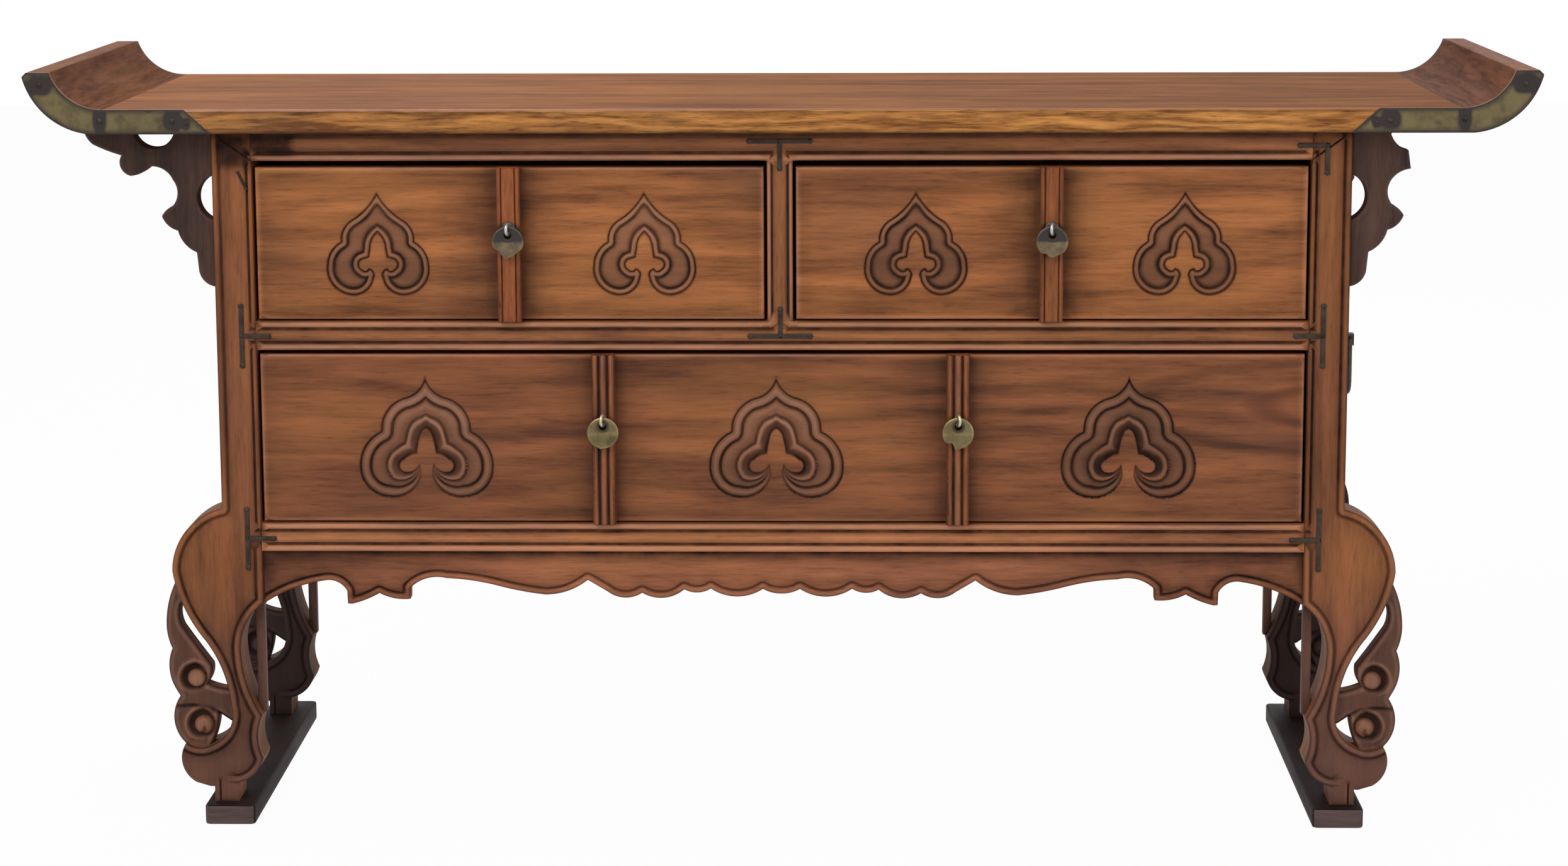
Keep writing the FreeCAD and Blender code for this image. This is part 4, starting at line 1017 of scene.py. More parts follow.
for x, z, arms in straps:
    for step_x, step_z, reach in arms:
        ends = np.array([(x, z), (x + step_x * reach, z + step_z * reach)])
        low, high = ends.min(0) - bar_half, ends.max(0) + bar_half
        add_bar(bars, (low[0], strap_low[1], low[1]), (high[0], strap_high[1] + 0.0006, high[1]), 0.0005)
        strap_nails.append((x + step_x * reach, strap_low[1] + 0.0004, z + step_z * reach, 1.0))
    strap_nails.append((x, strap_low[1] + 0.0004, z, 0.75))
scrap = add_bar(bars, (-0.0011, strap_low[1], -0.0085), (0.0011, strap_high[1] + 0.0006, 0.0085), 0.0005)
bmesh.ops.rotate(bars, verts=scrap, cent=(0, 0, 0), matrix=Matrix.Rotation(math.radians(-25), 3, "Y"))
bmesh.ops.translate(bars, verts=scrap, vec=scrap_place)
bar_mesh = mesh_of(bars)
bar_mesh.materials.append(iron)
iron_heads = nail_heads("strap_irons_nails", strap_nails, 0.0023, 0.0009, iron)
piece("iron_straps", joined(bar_mesh, iron_heads), "carcass", ["joint_straps"], "dark_iron", iron)


# Top: one wide hardwood board with two upturned scroll ends of burled wood butted to it.
# It is waxed above; the sawn front edge is bare, paler and coarse.
def top_piece(outline, upper_edge):
    """A board sawn to an outline: a painted highlight runs along the upper arris of its front, painted shade
    along the lower one.
    """
    low, high = in_mm("top_board")

    def relief(points):
        distance = edge_distance(points, outline)
        upper = edge_distance(points, upper_edge, False) < distance + 0.01
        depth = np.interp(distance, [0, 0.5, 1.2, 2.2], [1.6, 0.7, 0.2, 0.0])
        pale = np.interp(distance, [0, 0.6, 1.3, 2.2, 3.4, 6.0], [0.7, 0.8, 0.2, -0.5, -0.2, 0.0])
        dark = np.interp(distance, [0, 0.6, 1.6, 3.0, 6.0], [-0.8, -0.6, -0.35, -0.1, 0.0])
        return depth, np.where(upper, pale, dark)

    return carved(outline, low[1], high[1], relief,
                  [rows_beside(outline, (0.5, 1.2, 2.2, 3.4)), filling(outline, 3.6, 4.0)], ease=1.6)


def faced(mesh):
    """Gives the ends and the under side the second finish, and the upper side the first."""
    for side in mesh.polygons:
        side.material_index = 0 if side.normal.z > 0.2 or abs(side.normal.x) > 0.75 else 1
    return mesh


board_low, board_high = in_mm("top_board")
seam = board_high[0]
board_base, board_top = board_low[2], board_high[2]
tip_x, tip_z = [in_mm("scroll_end_right")[1][axis] for axis in (0, 2)]
scroll_thickness = 22.0
top_wood = wood("top_wood", "X", "Y", tone(106, 62, 32), tone(166, 105, 58), figure=0.3, gloss=0.66,
                shine=0.03)
edge_wood = wood("board_edge_wood", "X", "Z", tone(112, 66, 26), tone(206, 141, 74), figure=0.5, gloss=0.66,
                 bands=26.0, fine=1.2, variety=0.4)
board_outline = traced((-seam, board_base), [(seam, board_base), (seam, board_top), (-seam, board_top),
                                             (-seam, board_base)], straight=6.0)
board_mesh = top_piece(board_outline, np.array([(seam, board_top), (-seam, board_top)]))
# Painted sheen lightens the top towards the left end, and it is darker towards the right
shifted_light_and_age(board_mesh, (-seam, board_top - 1), (-280, board_top + 1), (250, 2), -0.3)
shifted_light_and_age(board_mesh, (380, board_top - 1), (seam, board_top + 1), (420, 2), 0.16)
piece("wide_top_board", faced(board_mesh), "carcass", ["top_board"], "top_wood", top_wood, edge_wood)

end_curl = [
    (seam + 11, board_base),
    (tip_x - 19, board_base + 15, tip_x, tip_z - 3.5),
    (tip_x - 3.5, tip_z),
    (tip_x - scroll_thickness, tip_z),
    (tip_x - scroll_thickness - 15.3, board_top + 8.8, seam + 3, board_top),
]
end_outline = traced((seam, board_base), end_curl + [(seam, board_top), (seam, board_base)], straight=1.5)
burl_wood = wood("burl_wood", "Y", "X", tone(76, 43, 25), tone(122, 75, 49), figure=0.45, gloss=0.66,
                 bands=24.0, shine=0.03, variety=0.12)
upper_curl = between(end_outline, (tip_x, tip_z - 3.5), (seam, board_top))
end_mesh = top_piece(end_outline, upper_curl)
# The flat of the tip is made paler
shifted_light_and_age(end_mesh, (tip_x - scroll_thickness + 3, tip_z - 1), (tip_x, tip_z + 1), 4.0, -0.4)
for side in ("left", "right"):
    mesh = faced(end_mesh.copy() if side == "right" else mirrored(end_mesh))
    node = "scroll_end_" + side
    piece("scroll_end_piece_" + side, mesh, "carcass", [node], "top_wood", burl_wood, edge_wood)

# Brass straps: thin sheet bent round the front of each scroll end and nailed on.
# It has gone olive, and black round the nails.
brass = metal("aged_brass", tone(84, 75, 55), tone(132, 118, 80), tone(46, 39, 36), 0.5, 75.0)
strap_box_low, strap_box_high = in_mm("edge_strap_right")
strap_end = strap_box_low[0]
strap_slant = 22.0
strap_tail = [(strap_end + strap_slant, board_top), (strap_end, board_base)]
strap_outline = traced((strap_end, board_base), end_curl + strap_tail, straight=1.5)
# Nails as x, z, share of the size, and how far the black reaches across and up
nail_spots = [(596.0, 619.5, 1.0, 11.0, 8.5), (548.0, 591.0, 1.0, 6.0, 9.5), (489.0, 590.5, 1.0, 9.0, 8.0),
              (478.0, 588.5, 0.65, 4.0, 5.0)]


def strap_relief(points):
    """Depth and age of the brass: black along its edge and in patches round the nails."""
    distance = edge_distance(points, strap_outline)
    depth = np.interp(distance, [0, 0.4, 1.0], [0.5, 0.12, 0.0])
    age = np.interp(distance, [0, 0.8, 2.0, 4.5], [-0.8, -0.45, -0.3, 0.0])
    for x, z, share, across, up in nail_spots:
        away = (np.abs((points - (x, z)) / (across, up)) ** 3).sum(1) ** (1 / 3)
        age = age - np.interp(away, [0.6, 1.1], [0.75, 0.0])
    return depth, np.maximum(age, -1.0)


strap_mesh = carved(strap_outline, strap_box_low[1], strap_box_high[1], strap_relief,
                    [rows_beside(strap_outline, (0.4, 1.0)), filling(strap_outline, 1.2, 1.6)], ease=0.1)
piece("brass_strap_right", strap_mesh.copy(), "carcass", ["edge_strap_right"], "aged_brass", brass)
piece("brass_strap_left", mirrored(strap_mesh), "carcass", ["edge_strap_left"], "aged_brass", brass)
head_spots = []
for side in (-1, 1):
    for x, z, share, across, up in nail_spots:
        head_spots.append((side * x * 0.001, strap_box_low[1] * 0.001, z * 0.001, share))
nail_iron = metal("nail_iron", tone(46, 39, 36), tone(74, 66, 60), tone(30, 24, 21), 0.5)
piece("brass_strap_nails", nail_heads("brass_strap_nail", head_spots, 0.0024, 0.0009, nail_iron), "carcass",
      ["strap_nails"], "dark_iron", nail_iron)

# Drawer boxes: pale softwood sides, back and bottom, pegged together behind each front.
# They are bare inside.
box_wood = wood("drawer_box_wood", "Y", "Z", tone(128, 92, 60), tone(188, 146, 100), figure=0.5, gloss=0.68)
bottom_wood = wood("drawer_bottom_wood", "X", "Y", tone(124, 90, 60), tone(180, 140, 98), figure=0.55,
                   gloss=0.7)
for drawer in ("drawer_upper_left", "drawer_upper_right", "drawer_lower"):
    box, bottom = drawer + "_box", drawer + "_bottom"
    piece(drawer + "_sides", eased(box, 0.0008), drawer, [box], "inner_wood", box_wood)
    piece(drawer + "_floor", eased(bottom, 0.0006), drawer, [bottom], "inner_wood", bottom_wood)


# Drawer fronts: wide boards of figured hardwood, waxed, with cloud heads carved into each panel.
# A cloud is a curling band with a bead along both its edges, round a leaf left at the face.
upper_cloud = [
    (11.5, 15.3, 21, 22.6),
    (28.2, 30.5, 30.0, 40.5),
    (38.4, 48.4, 41.8, 59.5),
    (37.2, 76.8, 23.4, 84.6),
    (9.4, 80.8, 3.6, 70.3),
    (4.0, 64.6, 7.8, 62.6),
    (11.2, 64.6, 13.0, 63.4),
    (15.6, 58.8, 12.6, 55.2),
    (9.6, 54.2, 7.2, 53.4),
    (5.9, 46),
    (4.2, 38.6, 0, 33.0),
]
lower_cloud = [
    (5, 10.4, 15.8, 17.6),
    (31.2, 27.4, 36.6, 39.6),
    (37.2, 46),
    (49.6, 56.6, 55.2, 74.6),
    (48.8, 93, 31, 101.5),
    (13.4, 96.6, 4.8, 82),
    (6, 73.8),
    (12.6, 79.8, 18.8, 80),
    (22.2, 75.4, 18.6, 69.8),
    (13.2, 66, 8, 64.6),
    (6.6, 56, 5.4, 51),
    (3.6, 46.6, 0, 43.4),
]


def cloud(steps, curl, full, edge_profile, leaf_profile):
    """The outline of a cloud head, tip at the origin, in two lines that part at the curls.

    The profiles list distance, depth, and painted shade and highlight with age inwards from the outer edge
    and from the leaf. Where the carving is narrower than its full width, towards the end of a curl, they draw
    together. With no full width one profile runs all round.
    """
    downward = placed(lambda across, drop: (across, -drop), *steps)
    leaf = (0, downward[-1][-1])
    half = between(traced((0, 0), downward + [(0, 0)], curve=0.9, straight=0.9), leaf, (0, 0))
    parting = int(np.argmin(np.abs(half - (curl[0], -curl[1])).sum(1)))
    leaf_half, edge_half = half[:parting + 1], half[parting:]
    edge = np.vstack([edge_half, (edge_half * (-1, 1))[-2::-1]])
    leaf = np.vstack([(leaf_half * (-1, 1))[::-1], leaf_half[1:]])
    outline = np.vstack([edge[:-1], leaf[:-1]])
    head = {"outline": outline, "apex": leaf_half[0], "scale": -leaf_half[0][1] / 43.4, "full": 0.05,
            "lines": [(outline, True, np.array(edge_profile))]}
    if full:
        head["full"] = full
        head["lines"] = [(edge, False, np.array(edge_profile)), (leaf, False, np.array(leaf_profile))]
    return head


upper_head = cloud(
    upper_cloud, (4.4, 64.6), None,
    [(0, 0.3, -0.8), (0.7, 2.0, -0.95), (1.5, 1.0, -0.15), (2.9, 0.3, 0.3), (4.3, 0.9, 0.0),
     (5.2, 2.7, -0.95), (6.2, 2.7, -0.95), (7.8, 1.6, -0.35), (10, 1.1, -0.08)],
    [])
lower_head = cloud(
    lower_cloud, (6, 73.8), 26.0,
    [(0, 0.3, -0.8), (0.8, 2.0, -0.9), (1.9, 1.1, -0.25), (4.6, 0.3, 0.3), (7.4, 0.9, 0.0),
     (8.6, 2.6, -0.9), (9.6, 2.6, -0.9), (10.6, 1.2, -0.2), (13, 0.9, 0.1), (17, 1.1, 0.0)],
    [(0, 0.3, -0.8), (0.7, 3.3, -0.95), (2.5, 3.0, -0.75), (5.5, 2.0, -0.55), (7.0, 0.9, 0.15),
     (8.2, 0.7, 0.4), (9.5, 0.9, 0.15), (10.4, 2.4, -0.8), (11.4, 2.4, -0.75), (12.8, 1.6, -0.25),
     (17, 1.1, 0.0)])
band_depth = 1.1


def front_board(node, clouds, battens, grime_and_shade, head):
    """A drawer front with clouds, each given as tip (x, z) and soot, with grime and painted shade beside
    battens (left, right).
    """
    low, high = in_mm(node)
    edge = plank((low[0], low[2]), (high[0], high[2]), 6.0)

    def relief(points):
        distance = edge_distance(points, edge)
        depth = np.interp(distance, [0, 0.5, 1.3, 2.4], [1.5, 0.7, 0.2, 0.0])
        # A painted highlight runs along the front's arris, with painted shade inside it
        age = np.interp(distance, [0, 0.5, 1.4, 2.6, 5.0, 16.0, 40.0],
                        [0.1, 0.5, 0.4, -0.05, -0.28, -0.1, 0.0])
        cut = np.zeros(len(points))
        # Grime and painted shade darken the board beside each batten
        for left, right in battens:
            beside_batten = np.maximum(left - points[:, 0], (points[:, 0] - right) * 1.5)
            age = age - grime_and_shade * np.interp(beside_batten, [0, 4, 14, 30, 52], [0.85, 0.72, 0.46, 0.2, 0.0])
        age = np.maximum(age, -0.7)
        for place, sooty in clouds:
            near = (np.abs(points - place - head["outline"].mean(0)) < 75).all(1)
            spots = points[near] - place
            within = inside(spots, head["outline"])
            reach = edge_distance(spots, head["outline"])
            reaches = [edge_distance(spots, line, closed) for line, closed, profile in head["lines"]]
            # Over the leaf the lines run to a point
            above = (spots - head["apex"]) / head["scale"]
            drawn_in = np.interp(np.abs(above[:, 0]), [0, 3.5, 11], [0, 1.3, 0])
            drawn_in = drawn_in * np.interp(above[:, 1], [-14, -8], [0, 1]) * np.minimum(reaches[-1] / 5, 1)
            reaches[-1] = reaches[-1] + drawn_in * head["scale"]
            squeeze = np.clip(sum(reaches) / head["full"], 0.05, 1.0)
            cut_depth, cut_light_and_age = band_depth, 0.0
            for from_line, (line, closed, profile) in zip(reaches, head["lines"]):
                from_line = from_line / squeeze
                cut_depth = cut_depth + np.interp(from_line, profile[:, 0], profile[:, 1]) - band_depth
                cut_light_and_age = cut_light_and_age + np.interp(from_line, profile[:, 0], profile[:, 2])
            # The carving dies away at the end of a curl
            whole = np.interp(squeeze, [0.15, 0.5], [0, 1])
            cut_depth = band_depth + (cut_depth - band_depth) * whole
            # Painted shade darkens the lobes below and painted highlight lightens the shoulders
            fall = spots[:, 1] / head["outline"][:, 1].min()
            cut_light_and_age = cut_light_and_age * whole - 0.4 * (1 - whole) - sooty
            cut_light_and_age = cut_light_and_age + np.interp(fall, [0.35, 0.7], [0.12, -0.11])
            lip_depth = np.interp(reach, [0, 0.5, 1.4], [0.4, 0.12, 0.0])
            lip_light_and_age = np.interp(reach, [0, 0.5, 1.6], [-0.6, -0.3, 0.0])
            depth[near] = np.where(within, np.clip(cut_depth, 0.2, 3.8), np.maximum(depth[near], lip_depth))
            age[near] = np.where(within, cut_light_and_age, age[near] + lip_light_and_age)
            cut[near] = np.where(within, np.interp(reach, [0, 1], [0, 1]), cut[near])
        return depth, np.clip(age, -1, 1), cut

    rows = [rows_beside(edge, (0.5, 1.3, 2.4, 5.0))]
    field = filling(edge, 5.5, 6.0)
    for place, sooty in clouds:
        carving = head["outline"] + place
        field = field[~inside(field, carving) & (edge_distance(field, carving) > 3.0)]
        fine = filling(carving, 0.7, 0.8)
        wide = sum(edge_distance(fine - place, line, closed) for line, closed, profile in head["lines"])
        over_leaf = np.linalg.norm(fine - place - head["apex"], axis=1) < 15
        rows += [carving, rows_beside(carving, (-0.5, -1.4)), filling(carving, 2.0, 2.6),
                 fine[(wide < head["full"]) | over_leaf]]
        for line, closed, profile in head["lines"]:
            row = rows_beside(line + place, profile[1:, 0], closed)
            rows.append(row[inside(row, carving)])
    return carved(edge, low[1], high[1], relief, rows + [field])


def batten_sides(*nodes):
    """The left and right of each batten in mm."""
    return [(in_mm(node)[0][0], in_mm(node)[1][0]) for node in nodes]


upper_front_wood = {
    "left": wood("upper_left_front_wood", "X", "Z", tone(106, 61, 31), tone(178, 111, 64), figure=0.45,
                 gloss=0.5, shift=(0.31, 0.0, 0.12), variety=0.45),
    "right": wood("upper_right_front_wood", "X", "Z", tone(104, 60, 31), tone(178, 110, 63), figure=0.45,
                  gloss=0.5, shift=(0.83, 0.0, 0.57), variety=0.45),
}
lower_front_wood = wood("lower_front_wood", "X", "Z", tone(88, 50, 30), tone(151, 91, 56), figure=0.5,
                        gloss=0.5, shift=(0.11, 0.0, 0.33), variety=0.3, heart=(0.5, 0.351))
for side, sign, outer_soot, inner_soot in (("left", -1, 0.03, -0.08), ("right", 1, 0.17, 0.19)):
    drawer = "drawer_upper_" + side
    node = drawer + "_front"
    upper_clouds = [((sign * 328.5, 530.0), outer_soot), ((sign * 110.5, 530.0), inner_soot)]
    mesh = front_board(node, upper_clouds, batten_sides(drawer + "_batten"), 1.0, upper_head)
    if side == "left":
        shifted_light_and_age(mesh, (-430, 420), (-405, 560), 50.0, 0.16)
    piece(drawer + "_carved_front", mesh, drawer, [node], "drawer_front_wood", upper_front_wood[side])
lower_clouds = [((-292.0, 378.0), 0.0), ((-3.6, 378.0), 0.02), ((285.0, 378.0), 0.26)]
lower_battens = batten_sides("drawer_lower_batten_left", "drawer_lower_batten_right")
lower_mesh = front_board("drawer_lower_front", lower_clouds, lower_battens, 0.6, lower_head)
piece("drawer_lower_carved_front", lower_mesh, "drawer_lower", ["drawer_lower_front"], "drawer_front_wood",
      lower_front_wood)

# Battens: upright hardwood strips nailed over each drawer front to carry the pulls.
# The upper ones have a flat middle between two beads, the lower ones three reeds.
batten_wood = wood("batten_wood", "Z", "X", tone(80, 42, 22), tone(156, 88, 50), figure=0.4, gloss=0.5,
                   fine=1.0)
# Sections as shares of the width up to the middle, and the depth there
flat_middle = ([0, 0.10, 0.14, 0.20, 0.24, 0.5], [0.9, 0.0, 0.0, 1.2, 0.0, 0.0])
three_reeds = ([0, 0.06, 0.15, 0.24, 0.28, 0.33, 0.38, 0.42, 0.5],
               [1.6, 0.6, 0.0, 0.6, 1.9, 1.9, 0.7, 0.15, 0.0])


def batten(node, section, rubbed_and_highlight, pull):
    """A moulded strip with crests lightened by wear and painted highlight, and a painted shadow where its
    pull hangs.
    """
    low, high = in_mm(node)
    pull_top = in_mm(pull)[1][2]
    edge = plank((low[0], low[2]), (high[0], high[2]), 6.0)
    wide = high[0] - low[0]

    def relief(points):
        share = 0.5 - np.abs((points[:, 0] - low[0]) / wide - 0.5)
        depth = np.interp(share, *section)
        # Dirt and painted shade darken the hollows; wear and painted highlight lighten the crests
        age = np.interp(depth, [0, 0.5, 1.2, 1.9], [rubbed_and_highlight, -0.12, -0.8, -1.0])
        # Painted shadow blackens the batten behind the pull's hole
        away = np.abs(points[:, 1] - pull_top + 4)
        age = np.minimum(age, np.interp(away, [5, 10], [-1.0, 1.0]))
        ends = np.minimum(points[:, 1] - low[2], high[2] - points[:, 1])
        return depth + np.interp(ends, [0, 0.6, 1.5], [1.2, 0.4, 0.0]), age

    marks = [low[0] + wide * share for share in section[0][1:]]
    marks += [high[0] - wide * share for share in section[0][1:-1]]
    levels = np.concatenate([np.linspace(low[2] + 1.5, high[2] - 1.5, 24), [low[2] + 0.6, high[2] - 0.6]])
    rows = np.stack(np.meshgrid(marks, levels), -1).reshape(-1, 2)
    return carved(edge, low[1], high[1], relief, [rows])


for side in ("left", "right"):
    drawer = "drawer_upper_" + side
    node = drawer + "_batten"
    mesh = batten(node, flat_middle, 0.0, "pull_upper_" + side)
    piece(drawer + "_moulded_batten", mesh, drawer, [node], "frame_wood", batten_wood)
    node = "drawer_lower_batten_" + side
    mesh = batten(node, three_reeds, 0.25, "pull_lower_" + side)
    piece("drawer_lower_reeded_batten_" + side, mesh, "drawer_lower", [node], "frame_wood", batten_wood)


# Pull eyes: small rings of iron or brass wire, the upper ones on a dark washer.
# The two ends of the wire are driven through the batten and clenched behind.
def swept(path, radius, sides, closed):
    """A round wire along a path of points in metres."""
    path = [Vector(spot) for spot in path]
    count = len(path)
    shape = bmesh.new()
    rings = []
    side_way = None
    for number, spot in enumerate(path):
        after = path[(number + 1) % count] if closed or number + 1 < count else spot
        before = path[number - 1] if closed or number else spot
        run = (after - before).normalized()
        if side_way is None:
            side_way = run.orthogonal()
        side_way = (side_way - run * side_way.dot(run)).normalized()
        other = run.cross(side_way)
        ring = []
        for turn in range(sides):
            angle = math.tau * turn / sides
            way = side_way * math.cos(angle) + other * math.sin(angle)
            ring.append(shape.verts.new(spot + way * radius))
        rings.append(ring)
    pairs = list(zip(rings, rings[1:]))
    if closed:
        # The last ring may be turned against the first, so the seam takes the nearest corner
        start = min(range(sides), key=lambda turn: (rings[-1][0].co - rings[0][turn].co).length)
        pairs.append((rings[-1], rings[0][start:] + rings[0][:start]))
    for near, far in pairs:
        for turn in range(sides):
            after = (turn + 1) % sides
            shape.faces.new((near[turn], near[after], far[after], far[turn]))
    if not closed:
        shape.faces.new(rings[0][::-1])
        shape.faces.new(rings[-1])
    bmesh.ops.recalc_face_normals(shape, faces=shape.faces)
    return mesh_of(shape)


pivots = {joint["name"]: joint for joint in frame["joints"]}
eye_radius = 0.0042
eye_wire = 0.0014
# The iron of the upper rings is painted near white, as a glint
eye_iron = metal("eye_iron", tone(150, 148, 144), tone(226, 226, 222), tone(80, 76, 72), 0.34)
washer_iron = metal("washer_iron", tone(52, 49, 48), tone(88, 84, 80), tone(34, 30, 28), 0.42)
eye_brass = metal("eye_brass", tone(168, 160, 122), tone(226, 220, 186), tone(100, 90, 64), 0.34)


def boss(x, z, face, radius, height):
    """A domed washer let into the face of a batten."""
    shape = bmesh.new()
    bmesh.ops.create_uvsphere(shape, u_segments=28, v_segments=14, radius=1.0)
    bmesh.ops.scale(shape, verts=shape.verts, vec=(radius, height, radius))
    bmesh.ops.translate(shape, verts=shape.verts, vec=(x, face, z))
    for side in shape.faces:
        side.material_index = 1
    return mesh_of(shape)


def eye(pull, batten_face, twist):
    """A ring in front of the batten, twisted a little to the side, on a short stem."""
    x, y, z = pivots[pull + "_swing"]["pos_m"]
    side_way = math.sin(math.radians(twist)) * eye_radius
    front_way = math.cos(math.radians(twist)) * eye_radius
    path = []
    for number in range(28):
        turn = math.tau * number / 28
        along, up = math.cos(turn), math.sin(turn)
        path.append((x + side_way * along, y + front_way * along, z + eye_radius * up))
    ring = swept(path, eye_wire, 12, True)
    stem = swept([(x, y + eye_radius, z), (x, batten_face + 0.001, z)], eye_wire * 1.2, 12, False)
    return joined(ring, stem)


for side in ("left", "right"):
    drawer = "drawer_upper_" + side
    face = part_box(drawer + "_batten")[0][1]
    x, y, z = pivots["pull_upper_" + side + "_swing"]["pos_m"]
    mesh = joined(eye("pull_upper_" + side, face, 12), boss(x, z - 0.0005, face, 0.0060, 0.0016))
    piece(drawer + "_ring", mesh, drawer, [drawer + "_eye"], "dark_iron", eye_iron, washer_iron)
lower_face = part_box("drawer_lower_batten_left")[0][1]
lower_rings = joined(eye("pull_lower_left", lower_face, 18), eye("pull_lower_right", lower_face, -20))
piece("drawer_lower_rings", lower_rings, "drawer_lower", ["drawer_lower_eyes"], "dark_iron", eye_brass)


# Pulls: round plates cut from sheet, hung on the rings by a hole near the top.
# The upper pair are iron with a pale worn edge, the lower pair brass.
def pierced(edge, hole, front, back, relief, rows):
    """A sheet of even thickness with one hole."""
    points = np.vstack([edge, hole] + rows)
    count, bore = len(edge), len(hole)
    ring = [(number, (number + 1) % count) for number in range(count)]
    ring += [(count + number, count + (number + 1) % bore) for number in range(bore)]
    found = geometry.delaunay_2d_cdt([Vector(point) for point in points], ring, [], 1, 1e-4)
    face = np.array([tuple(corner) for corner in found[0]])
    faces = []
    for triangle in found[2]:
        centre = face[list(triangle)].mean(0)
        if not inside(centre[None], hole)[0]:
            faces.append(tuple(triangle))
    depth, age = relief(face)
    mesh = bpy.data.meshes.new("sheet")
    mesh.from_pydata(np.stack([face[:, 0], front + depth, face[:, 1]], 1) * 0.001, [], faces)
    mesh.attributes.new("age", "FLOAT", "POINT").data.foreach_set("value", age.astype(np.float32))
    shape = bmesh.new()
    shape.from_mesh(mesh)
    bpy.data.meshes.remove(mesh)
    bmesh.ops.delete(shape, geom=[corner for corner in shape.verts if not corner.link_faces], context="VERTS")
    grown = bmesh.ops.extrude_face_region(shape, geom=list(shape.faces))["geom"]
    for corner in grown:
        if isinstance(corner, bmesh.types.BMVert):
            corner.co.y += (back - front) * 0.001
    bmesh.ops.recalc_face_normals(shape, faces=shape.faces)
    return mesh_of(shape)


# Bites out of a plate's edge as angle, half width in degrees, and depth
plate_bites = {
    "pull_upper_left": [(226, 20, 2.4), (263, 7, -1.6), (308, 18, 1.4)],
    "pull_upper_right": [(244, 11, 2.0), (296, 14, 0.9)],
    "pull_lower_left": [(262, 6, -0.6)],
    "pull_lower_right": [(240, 14, 3.2), (264, 7, -1.8)],
}
hole_radius = 3.1
hole_above_solid = 8.6
hole_above_plate = 5.4


def disc(node, paler_below):
    """A dished plate with a hole above its middle and a worn edge."""
    low, high = in_mm(node)
    radius = (high[0] - low[0]) / 2
    hole_middle = np.array([(low[0] + high[0]) / 2, (low[2] + high[2]) / 2 + hole_above_solid])
    middle = hole_middle - (0, hole_above_plate)
    turns = np.linspace(0, math.tau, 96, endpoint=False)
    reach = np.full(len(turns), radius)
    for angle, half_width, deep in plate_bites[node]:
        reach -= deep * np.exp(-((np.degrees(turns) - angle) / half_width) ** 2)
    edge = middle + np.stack([np.cos(turns) * reach, np.sin(turns) * reach], 1)
    rows = [rows_beside(edge, (0.4, 1.0, 2.0)), filling(edge, 2.4, 1.4)]
    hole = hole_middle + np.stack([np.cos(turns[::2]), np.sin(turns[::2])], 1) * hole_radius
    brim = hole_middle + np.stack([np.cos(turns[::2]), np.sin(turns[::2])], 1) * (hole_radius + 0.7)
    rows = [row[np.linalg.norm(row - hole_middle, axis=1) > hole_radius + 1.1] for row in rows]

    def relief(points):
        inset = edge_distance(points, edge)
        share = np.linalg.norm(points - middle, axis=1) / radius
        lip = np.linalg.norm(points - hole_middle, axis=1) - hole_radius
        depth = np.interp(inset, [0, 0.4, 1.0], [0.4, 0.1, 0.0]) - 0.5 * (1 - share ** 2)
        depth = depth + np.interp(lip, [0, 0.7], [0.3, 0.0])
        age = np.interp(inset, [0, 0.5, 2.0], [0.5, 0.45, 0.0])
        # Painted shade and dirt darken the plate round its hole
        age = age + np.interp(lip, [0, 1.0, 3.0], [-0.9, -0.6, 0.0])
        fall = (middle[1] - points[:, 1]) / radius
        # A painted highlight lies in a band across the lower plates
        fold_highlight = np.exp(-((fall - 0.05) / 0.07) ** 2) * 0.5
        # The upper plates are darker above and paler below
        return depth, age + (np.interp(fall, [-0.1, 0.12], [-0.6, 0.55]) if paler_below else fold_highlight)

    return pierced(edge, hole, low[1], high[1], relief, rows + [brim])


pull_iron = metal("pull_iron", tone(60, 55, 52), tone(122, 106, 80), tone(44, 40, 38), 0.42, 120.0)
pull_brass = metal("pull_brass", tone(92, 80, 55), tone(136, 121, 84), tone(54, 46, 34), 0.4, 120.0)
for level, finish, slot in (("upper", pull_iron, "dark_iron"), ("lower", pull_brass, "aged_brass")):
    for side in ("left", "right"):
        name = "pull_%s_%s" % (level, side)
        piece(name + "_plate", disc(name, level == "upper"), name, [name], slot, finish)

# Side handles: a drop bail of round iron bar on each side, its two ends turned into forged lugs.
# The lugs are riveted through the side board.
handle_iron = metal("handle_iron", tone(52, 46, 43), tone(90, 82, 76), tone(30, 25, 23), 0.5)
piece("forged_lugs", eased("handle_lugs", 0.0012), "carcass", ["handle_lugs"], "dark_iron", handle_iron)
bar_radius = 0.0025
for side, sign in (("left", -1), ("right", 1)):
    name = "side_bail_" + side
    low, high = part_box(name)
    x = (low[0] + high[0]) / 2
    half = high[1] - bar_radius
    top = high[2] - bar_radius
    base = low[2] + bar_radius
    corners = [(-0.026, top), (-half, top), (-half, base), (half, base), (half, top), (0.026, top)]
    rounds = [0, 0.004, 0.014, 0.014, 0.004, 0]
    path = [corners[0]]
    for number in range(1, 5):
        spot = Vector(corners[number])
        before = (Vector(corners[number - 1]) - spot).normalized() * rounds[number]
        after = (Vector(corners[number + 1]) - spot).normalized() * rounds[number]
        for share in np.linspace(0, 1, 9):
            path.append(tuple(spot + before * (1 - share) ** 2 + after * share ** 2))
    path.append(corners[-1])
    mesh = swept([(x, y, z) for y, z in path], bar_radius, 14, False)
    piece("drop_bail_" + side, mesh, name, [name], "dark_iron", handle_iron)


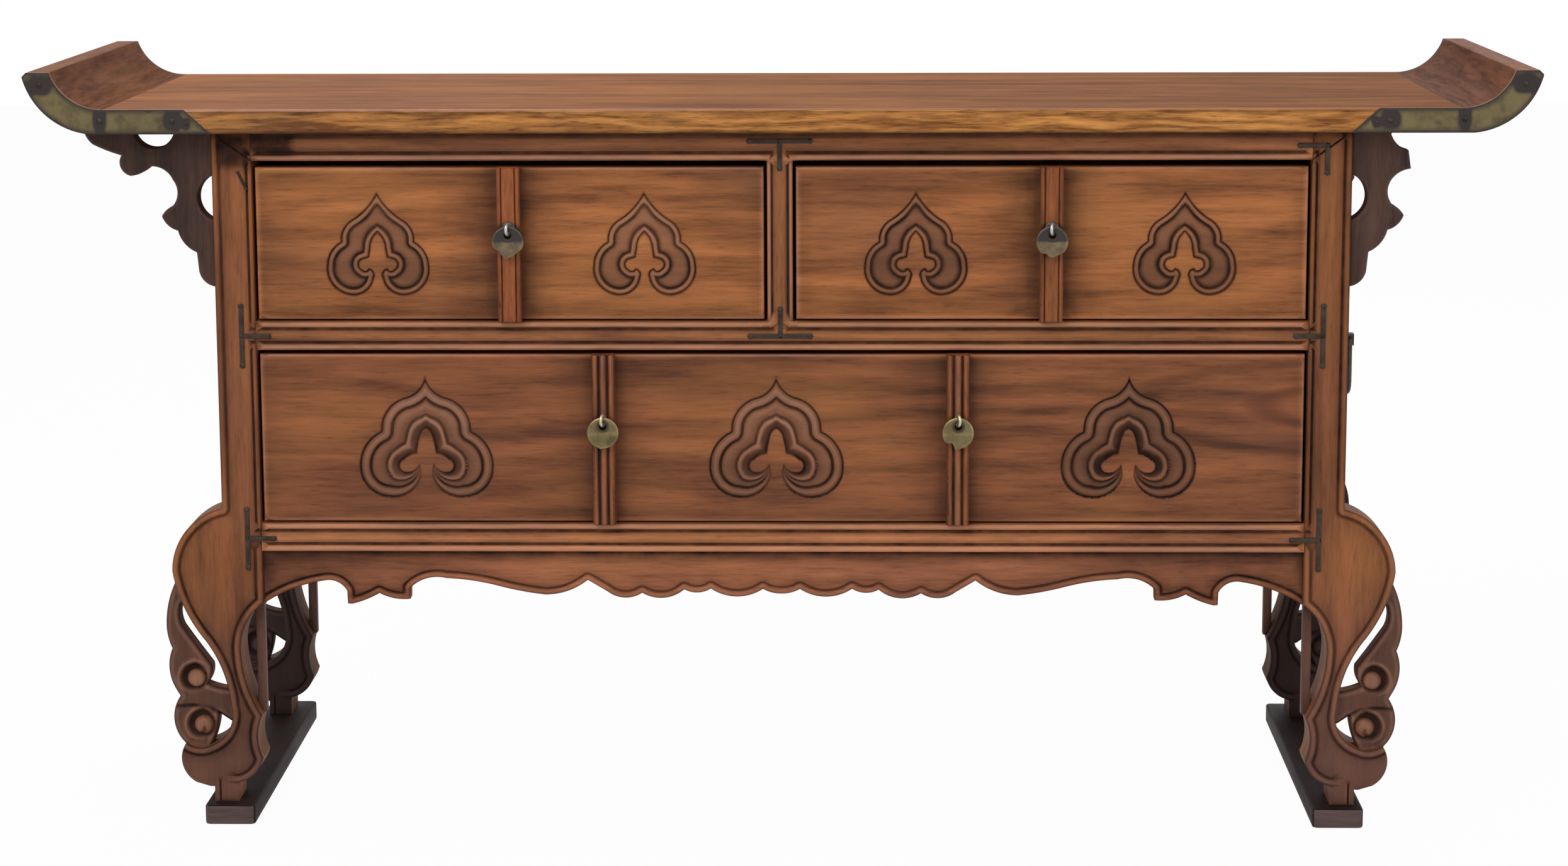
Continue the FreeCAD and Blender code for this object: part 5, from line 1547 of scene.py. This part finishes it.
# Studio: a pale floor that keeps the chest's shadow, a white surround and soft lamps.
# Floor and surround are white where the camera, a gloss or a glass sees them.
def seen_white(finish):
    """1 where the camera, a gloss or a glass sees the background, 0 where it only gives light."""
    straight, glossy, through = [finish.node("ShaderNodeLightPath", output=ray)
                                 for ray in ("Is Camera Ray", "Is Glossy Ray", "Is Transmission Ray")]
    return finish.node("ShaderNodeClamp", {}, {"Value": straight + glossy + through})


floor_mesh = bpy.data.meshes.new("floor")
floor_mesh.from_pydata([(-6, -6, 0), (6, -6, 0), (6, 6, 0), (-6, 6, 0)], [], [(0, 1, 2, 3)])
floor = bpy.data.objects.new("floor", floor_mesh)
bpy.context.scene.collection.objects.link(floor)
paper = Finish(bpy.data.materials.new("white_paper"))
lit = paper.node("ShaderNodeBsdfDiffuse", {}, {"Color": (0.86, 0.86, 0.86, 1.0)})
white = paper.node("ShaderNodeEmission", {}, {"Color": (1.0, 1.0, 1.0, 1.0), "Strength": 1.0})
sheet = paper.node("ShaderNodeMixShader", {}, {0: seen_white(paper) * 0.965, 1: lit, 2: white})
paper.node("ShaderNodeOutputMaterial", {}, {"Surface": sheet})
floor_mesh.materials.append(paper.owner)

scene = bpy.context.scene
world = bpy.data.worlds.new("white_surround")
scene.world = world
surround = Finish(world)
strength = seen_white(surround) * 0.66 + 0.34
glow = surround.node("ShaderNodeBackground", {}, {"Color": (1.0, 1.0, 1.0, 1.0), "Strength": strength})
surround.node("ShaderNodeOutputWorld", {}, {"Surface": glow})


def lamp(name, spot, target, size, watts):
    """A soft square lamp that looks at its target."""
    light = bpy.data.lights.new(name, "AREA")
    light.size = size
    light.energy = watts
    held = bpy.data.objects.new(name, light)
    held.location = spot
    held.rotation_euler = (Vector(target) - Vector(spot)).to_track_quat("-Z", "Y").to_euler()
    scene.collection.objects.link(held)


lamp("key_lamp", (-1.3, -2.2, 2.6), (0, 0, 0.35), 1.8, 56)
lamp("fill_lamp", (2.2, -2.6, 1.3), (0, 0, 0.35), 2.0, 24)
lamp("top_lamp", (0.0, 0.6, 2.8), (0, 0, 0.5), 2.0, 17)
lamp("back_lamp", (0.6, 2.6, 1.8), (0, 0, 0.4), 2.0, 16)

# Camera: where the photograph was taken from, a little above and to the right of the middle.
# The lens is shifted down a little, as the photograph's upright lines were straightened.
camera_spot = Vector((0.0631, -2.7320, 0.8553))
yaw, pitch, roll = (math.radians(angle) for angle in (-1.326, 8.655, -0.219))
forward = Vector((math.sin(yaw) * math.cos(pitch), math.cos(yaw) * math.cos(pitch), -math.sin(pitch)))
level = Vector((math.cos(yaw), -math.sin(yaw), 0.0))
upright = level.cross(forward)
right = level * math.cos(roll) + upright * math.sin(roll)
above = upright * math.cos(roll) - level * math.sin(roll)
lens = bpy.data.cameras.new("camera")
lens.sensor_fit = "HORIZONTAL"
lens.sensor_width = 36.0
lens.lens = 73.82
lens.shift_y = -0.10
camera = bpy.data.objects.new("camera", lens)
camera.matrix_world = Matrix.Translation(camera_spot) @ Matrix((right, above, -forward)).transposed().to_4x4()
scene.collection.objects.link(camera)
scene.camera = camera
scene.view_settings.view_transform = "Standard"
